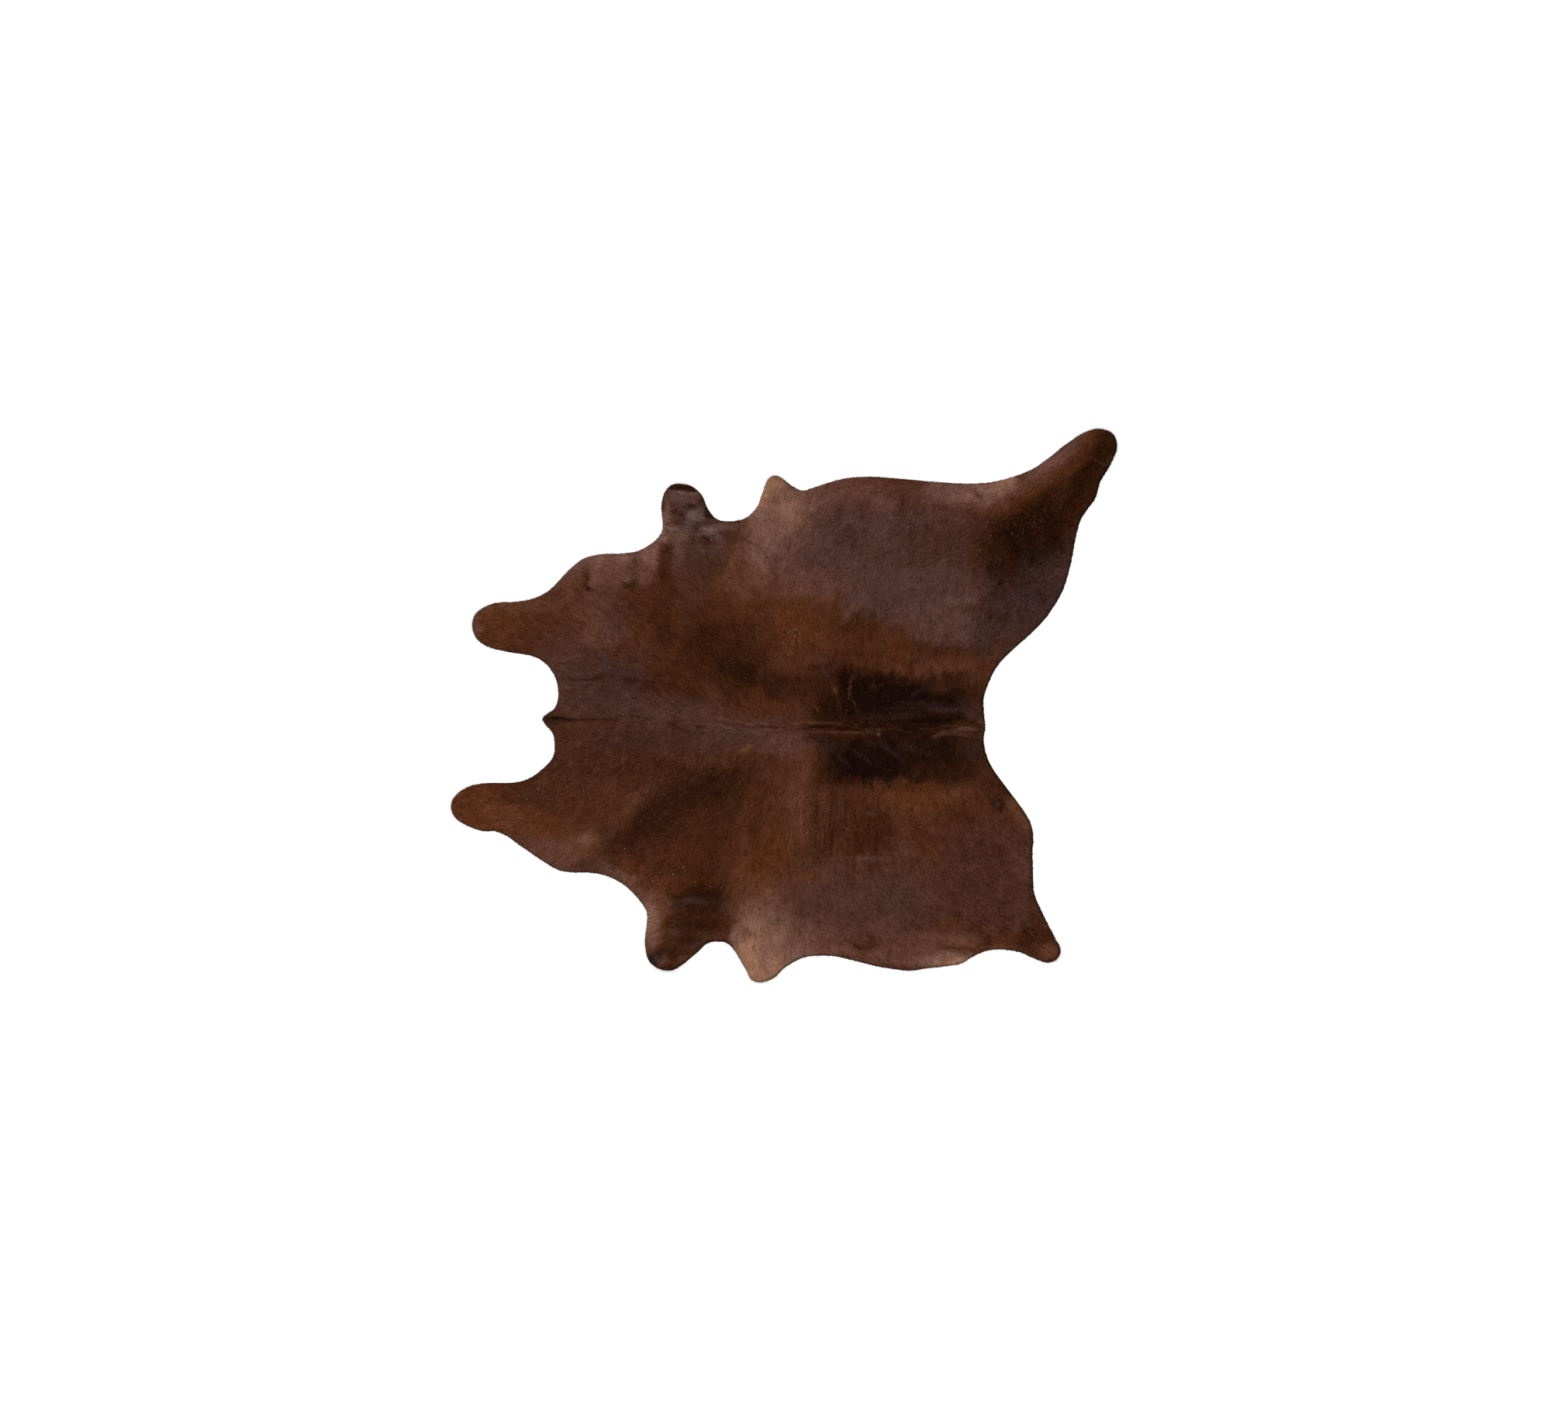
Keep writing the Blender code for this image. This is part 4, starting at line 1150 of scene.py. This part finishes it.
# Each lock points along the hair, give or take a dozen degrees, and its tip stops just past the rim.
LOCK_TURN = 12.0
LOCK_LENGTH = (6.5 * MM, 10 * MM)
LOCK_WIDTH = (2.0 * MM, 3.3 * MM)
TIP_LIFT = (0.25 * MM, 0.6 * MM)
FLECK_SIZE = 0.5
FLECK_RISE = 0.5 * MM
OVERHANG = 0.3 * MM
SHORTEST = 3 * MM
count = len(root_x)
cos, sin = hair_heading(root_x, root_y)
turn = np.radians(rng.normal(0, LOCK_TURN, count))
cos, sin = cos * np.cos(turn) - sin * np.sin(turn), sin * np.cos(turn) + cos * np.sin(turn)
length = rng.uniform(*LOCK_LENGTH, count)
width = rng.uniform(*LOCK_WIDTH, count)
lift = rng.uniform(*TIP_LIFT, count)
length[is_fleck] *= FLECK_SIZE
lift[is_fleck] += FLECK_RISE
tip_x, tip_y = root_x + cos * length, root_y + sin * length
tip_z = drop(skin_tree, tip_x, tip_y)
past_rim = np.isnan(tip_z)
tip_z[past_rim] = root_z[past_rim]
beyond = np.array([rim_tree.find((a, b, 0))[2] for a, b in zip(tip_x[past_rim], tip_y[past_rim])])
length[past_rim] = np.maximum(SHORTEST, length[past_rim] - np.maximum(0.0, beyond - OVERHANG))

# Locks differ in shade: singly, and in bands along the hair of this depth, width and reach in mm, and seed.
# The differences show more in dark hair and reach the blue part of a tone most. Each lock also has painted
# light and shade at its two widest points, its root and its tip: darkest at the root, which the locks over it
# would shade, and lightest at the tip, which would catch the light.
UNEVEN = 0.22
BANDS = ((0.17, 3.0, 6.0, 21), (0.14, 6.0, 12.0, 22))
EVEN_TONE = 0.04
DARKNESS_LIMITS = (0.05, 8.0)
DARKNESS_POWER = -0.28
GRAIN_HUE = np.array((1.0, 1.5, 2.1))
GRAIN_LIMITS = (0.25, 3.0)
LOCK_PAINTED_LIGHT = np.array((1.15, 1.15, 1.00, 1.35))
uneven = rng.normal(0, UNEVEN, count)
for depth, band_width, reach, seed in BANDS:
    uneven = uneven + depth * streaks(root_x, root_y, band_width, reach, seed)
uneven[is_fleck] = 0.0
lock_colour = coat_colour(root_x, root_y, PATCHES + tuple(scattered(SPOTS)))
uneven *= np.clip(lock_colour.mean(1) / EVEN_TONE, *DARKNESS_LIMITS) ** DARKNESS_POWER
lock_colour *= np.clip(1.0 + GRAIN_HUE * uneven[:, None], *GRAIN_LIMITS)
lock_colour += (fleck_tone - lock_colour) * fleck_share
at_root, at_tip = painted_rim_shade(root_x, root_y), painted_rim_shade(root_x + cos * length, root_y + sin * length)
point_colour = lock_colour[:, None] * LOCK_PAINTED_LIGHT[None, :, None]
point_colour[:, :3] *= at_root[:, None]
point_colour[:, 3] *= at_tip

# A lock's points are its two widest ones, sunk in the skin, then its root and its lifted tip. Its strand is
# where each lies across and along it, with a chance number that tells the locks apart.
WIDEST = 0.3
ROOT_SINK = 0.15 * MM
ROOT_RISE = 0.1 * MM
LOCK_FACES = np.array([(0, 3, 2), (2, 3, 1), (1, 3, 0), (0, 2, 1)])
lock_points = np.empty((count, 4, 3))
strand = np.zeros((count, 4, 3))
for k, (across, along, up) in enumerate(((-0.5, WIDEST, -ROOT_SINK), (0.5, WIDEST, -ROOT_SINK),
                                         (0.0, 0.0, ROOT_RISE + FLECK_RISE * is_fleck), (0.0, 1.0, lift))):
    lock_points[:, k, 0] = root_x + cos * length * along - sin * width * across
    lock_points[:, k, 1] = root_y + sin * length * along + cos * width * across
    lock_points[:, k, 2] = root_z + (tip_z - root_z) * along + up
    strand[:, k, 0] = width * across
    strand[:, k, 1] = length * along
strand[:, :, 2] = rng.random(count)[:, None]

DRAWN_OUT = 0.15
coat, tree, fibre = new_material("short hair", specular=0.04, Scale=2200, Contrast=1.8, Roughness=0.6,
                                 Depth=0.1 * MM)
tone = add_node(tree, "ShaderNodeVertexColor", layer_name="coat_tone")
along_lock = add_node(tree, "ShaderNodeAttribute", attribute_name="strand")
drawn_out = add_node(tree, "ShaderNodeMapping", {"Scale": (1, DRAWN_OUT, 1)})
wire(tree, (tone, "Color", fibre, "Colour"), (along_lock, "Vector", drawn_out, "Vector"),
     (drawn_out, "Vector", fibre, "Vector"))

SECTIONS = ("neck", "shoulder", "ribs", "loin", "rump")
cuts = np.quantile(root_x, np.linspace(0, 1, len(SECTIONS) + 1))
for section, front, back in zip(SECTIONS, cuts[:-1], cuts[1:]):
    own = np.nonzero((root_x >= front) & (root_x < back))[0]
    mesh = bpy.data.meshes.new("coat_" + section)
    mesh.vertices.add(4 * len(own))
    mesh.vertices.foreach_set("co", lock_points[own].astype(np.float32).ravel())
    faces = (LOCK_FACES[None] + 4 * np.arange(len(own))[:, None, None]).reshape(-1, 3)
    mesh.loops.add(3 * len(faces))
    mesh.loops.foreach_set("vertex_index", faces.ravel())
    mesh.polygons.add(len(faces))
    mesh.polygons.foreach_set("loop_start", np.arange(len(faces)) * 3)
    mesh.polygons.foreach_set("use_smooth", np.ones(len(faces), bool))
    mesh.update(calc_edges=True)
    tint_points(mesh, point_colour[own].reshape(-1, 3))
    write_vectors(mesh, "strand", strand[own])
    layout = lock_points[own].reshape(-1, 3)
    layout = ((layout - layout.min(0)) / (layout.max(0) - layout.min(0)))[faces.ravel(), :2]
    mesh.uv_layers.new(name="OFBake").data.foreach_set("uv", layout.astype(np.float32).ravel())
    mesh.materials.append(coat)
    piece = placed("coat_" + section, mesh)
    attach(piece, "root")

# ----------------------------------------------------------------------------------------------
# The studio
# A white paper floor under soft, even light from all round, with the camera straight above the hide.
FLOOR_HALF = 30.0
FLOOR_DROP = 0.2 * MM
PAPER = (0.92, 0.92, 0.92, 1)
floor_mesh = bpy.data.meshes.new("studio_floor")
floor_mesh.from_pydata([(FLOOR_HALF * a, FLOOR_HALF * b, -FLOOR_DROP)
                        for a, b in ((-1, -1), (1, -1), (1, 1), (-1, 1))], [], [(0, 1, 2, 3)])
floor = placed("studio_floor", floor_mesh)
paper = bpy.data.materials.new("white paper")
paper.use_nodes = True
shader = paper.node_tree.nodes["Principled BSDF"]
shader.inputs["Base Color"].default_value = PAPER
shader.inputs["Roughness"].default_value = 0.9
shader.inputs["Specular IOR Level"].default_value = 0.0
floor_mesh.materials.append(paper)

world = bpy.data.worlds.new("studio")
world.use_nodes = True
world.node_tree.nodes["Background"].inputs["Color"].default_value = (1, 1, 1, 1)
world.node_tree.nodes["Background"].inputs["Strength"].default_value = 1.0
bpy.context.scene.world = world

# name, azimuth and height in degrees, strength
SUNS = (("key", 115, 50, 0.6), ("fill", 295, 50, 0.3))
SUN_SPREAD = 25
for name, azimuth, height, energy in SUNS:
    sun = bpy.data.lights.new(name, "SUN")
    sun.energy = energy
    sun.angle = np.radians(SUN_SPREAD)
    azimuth, height = np.radians(azimuth), np.radians(height)
    towards = Vector((np.cos(azimuth) * np.cos(height), np.sin(azimuth) * np.cos(height), np.sin(height)))
    placed(name, sun).rotation_euler = towards.to_track_quat("Z", "Y").to_euler()

# What the camera sees on the floor is this many metres wide.
FRAME_WIDTH = 5.179
LENS = 85.0
SENSOR = 36.0
camera_data = bpy.data.cameras.new("overhead")
camera_data.lens = LENS
camera_data.sensor_width = SENSOR
camera = placed("overhead", camera_data)
camera.location = (0, 0, FRAME_WIDTH * LENS / SENSOR)
bpy.context.scene.camera = camera
bpy.context.scene.view_settings.view_transform = "Standard"
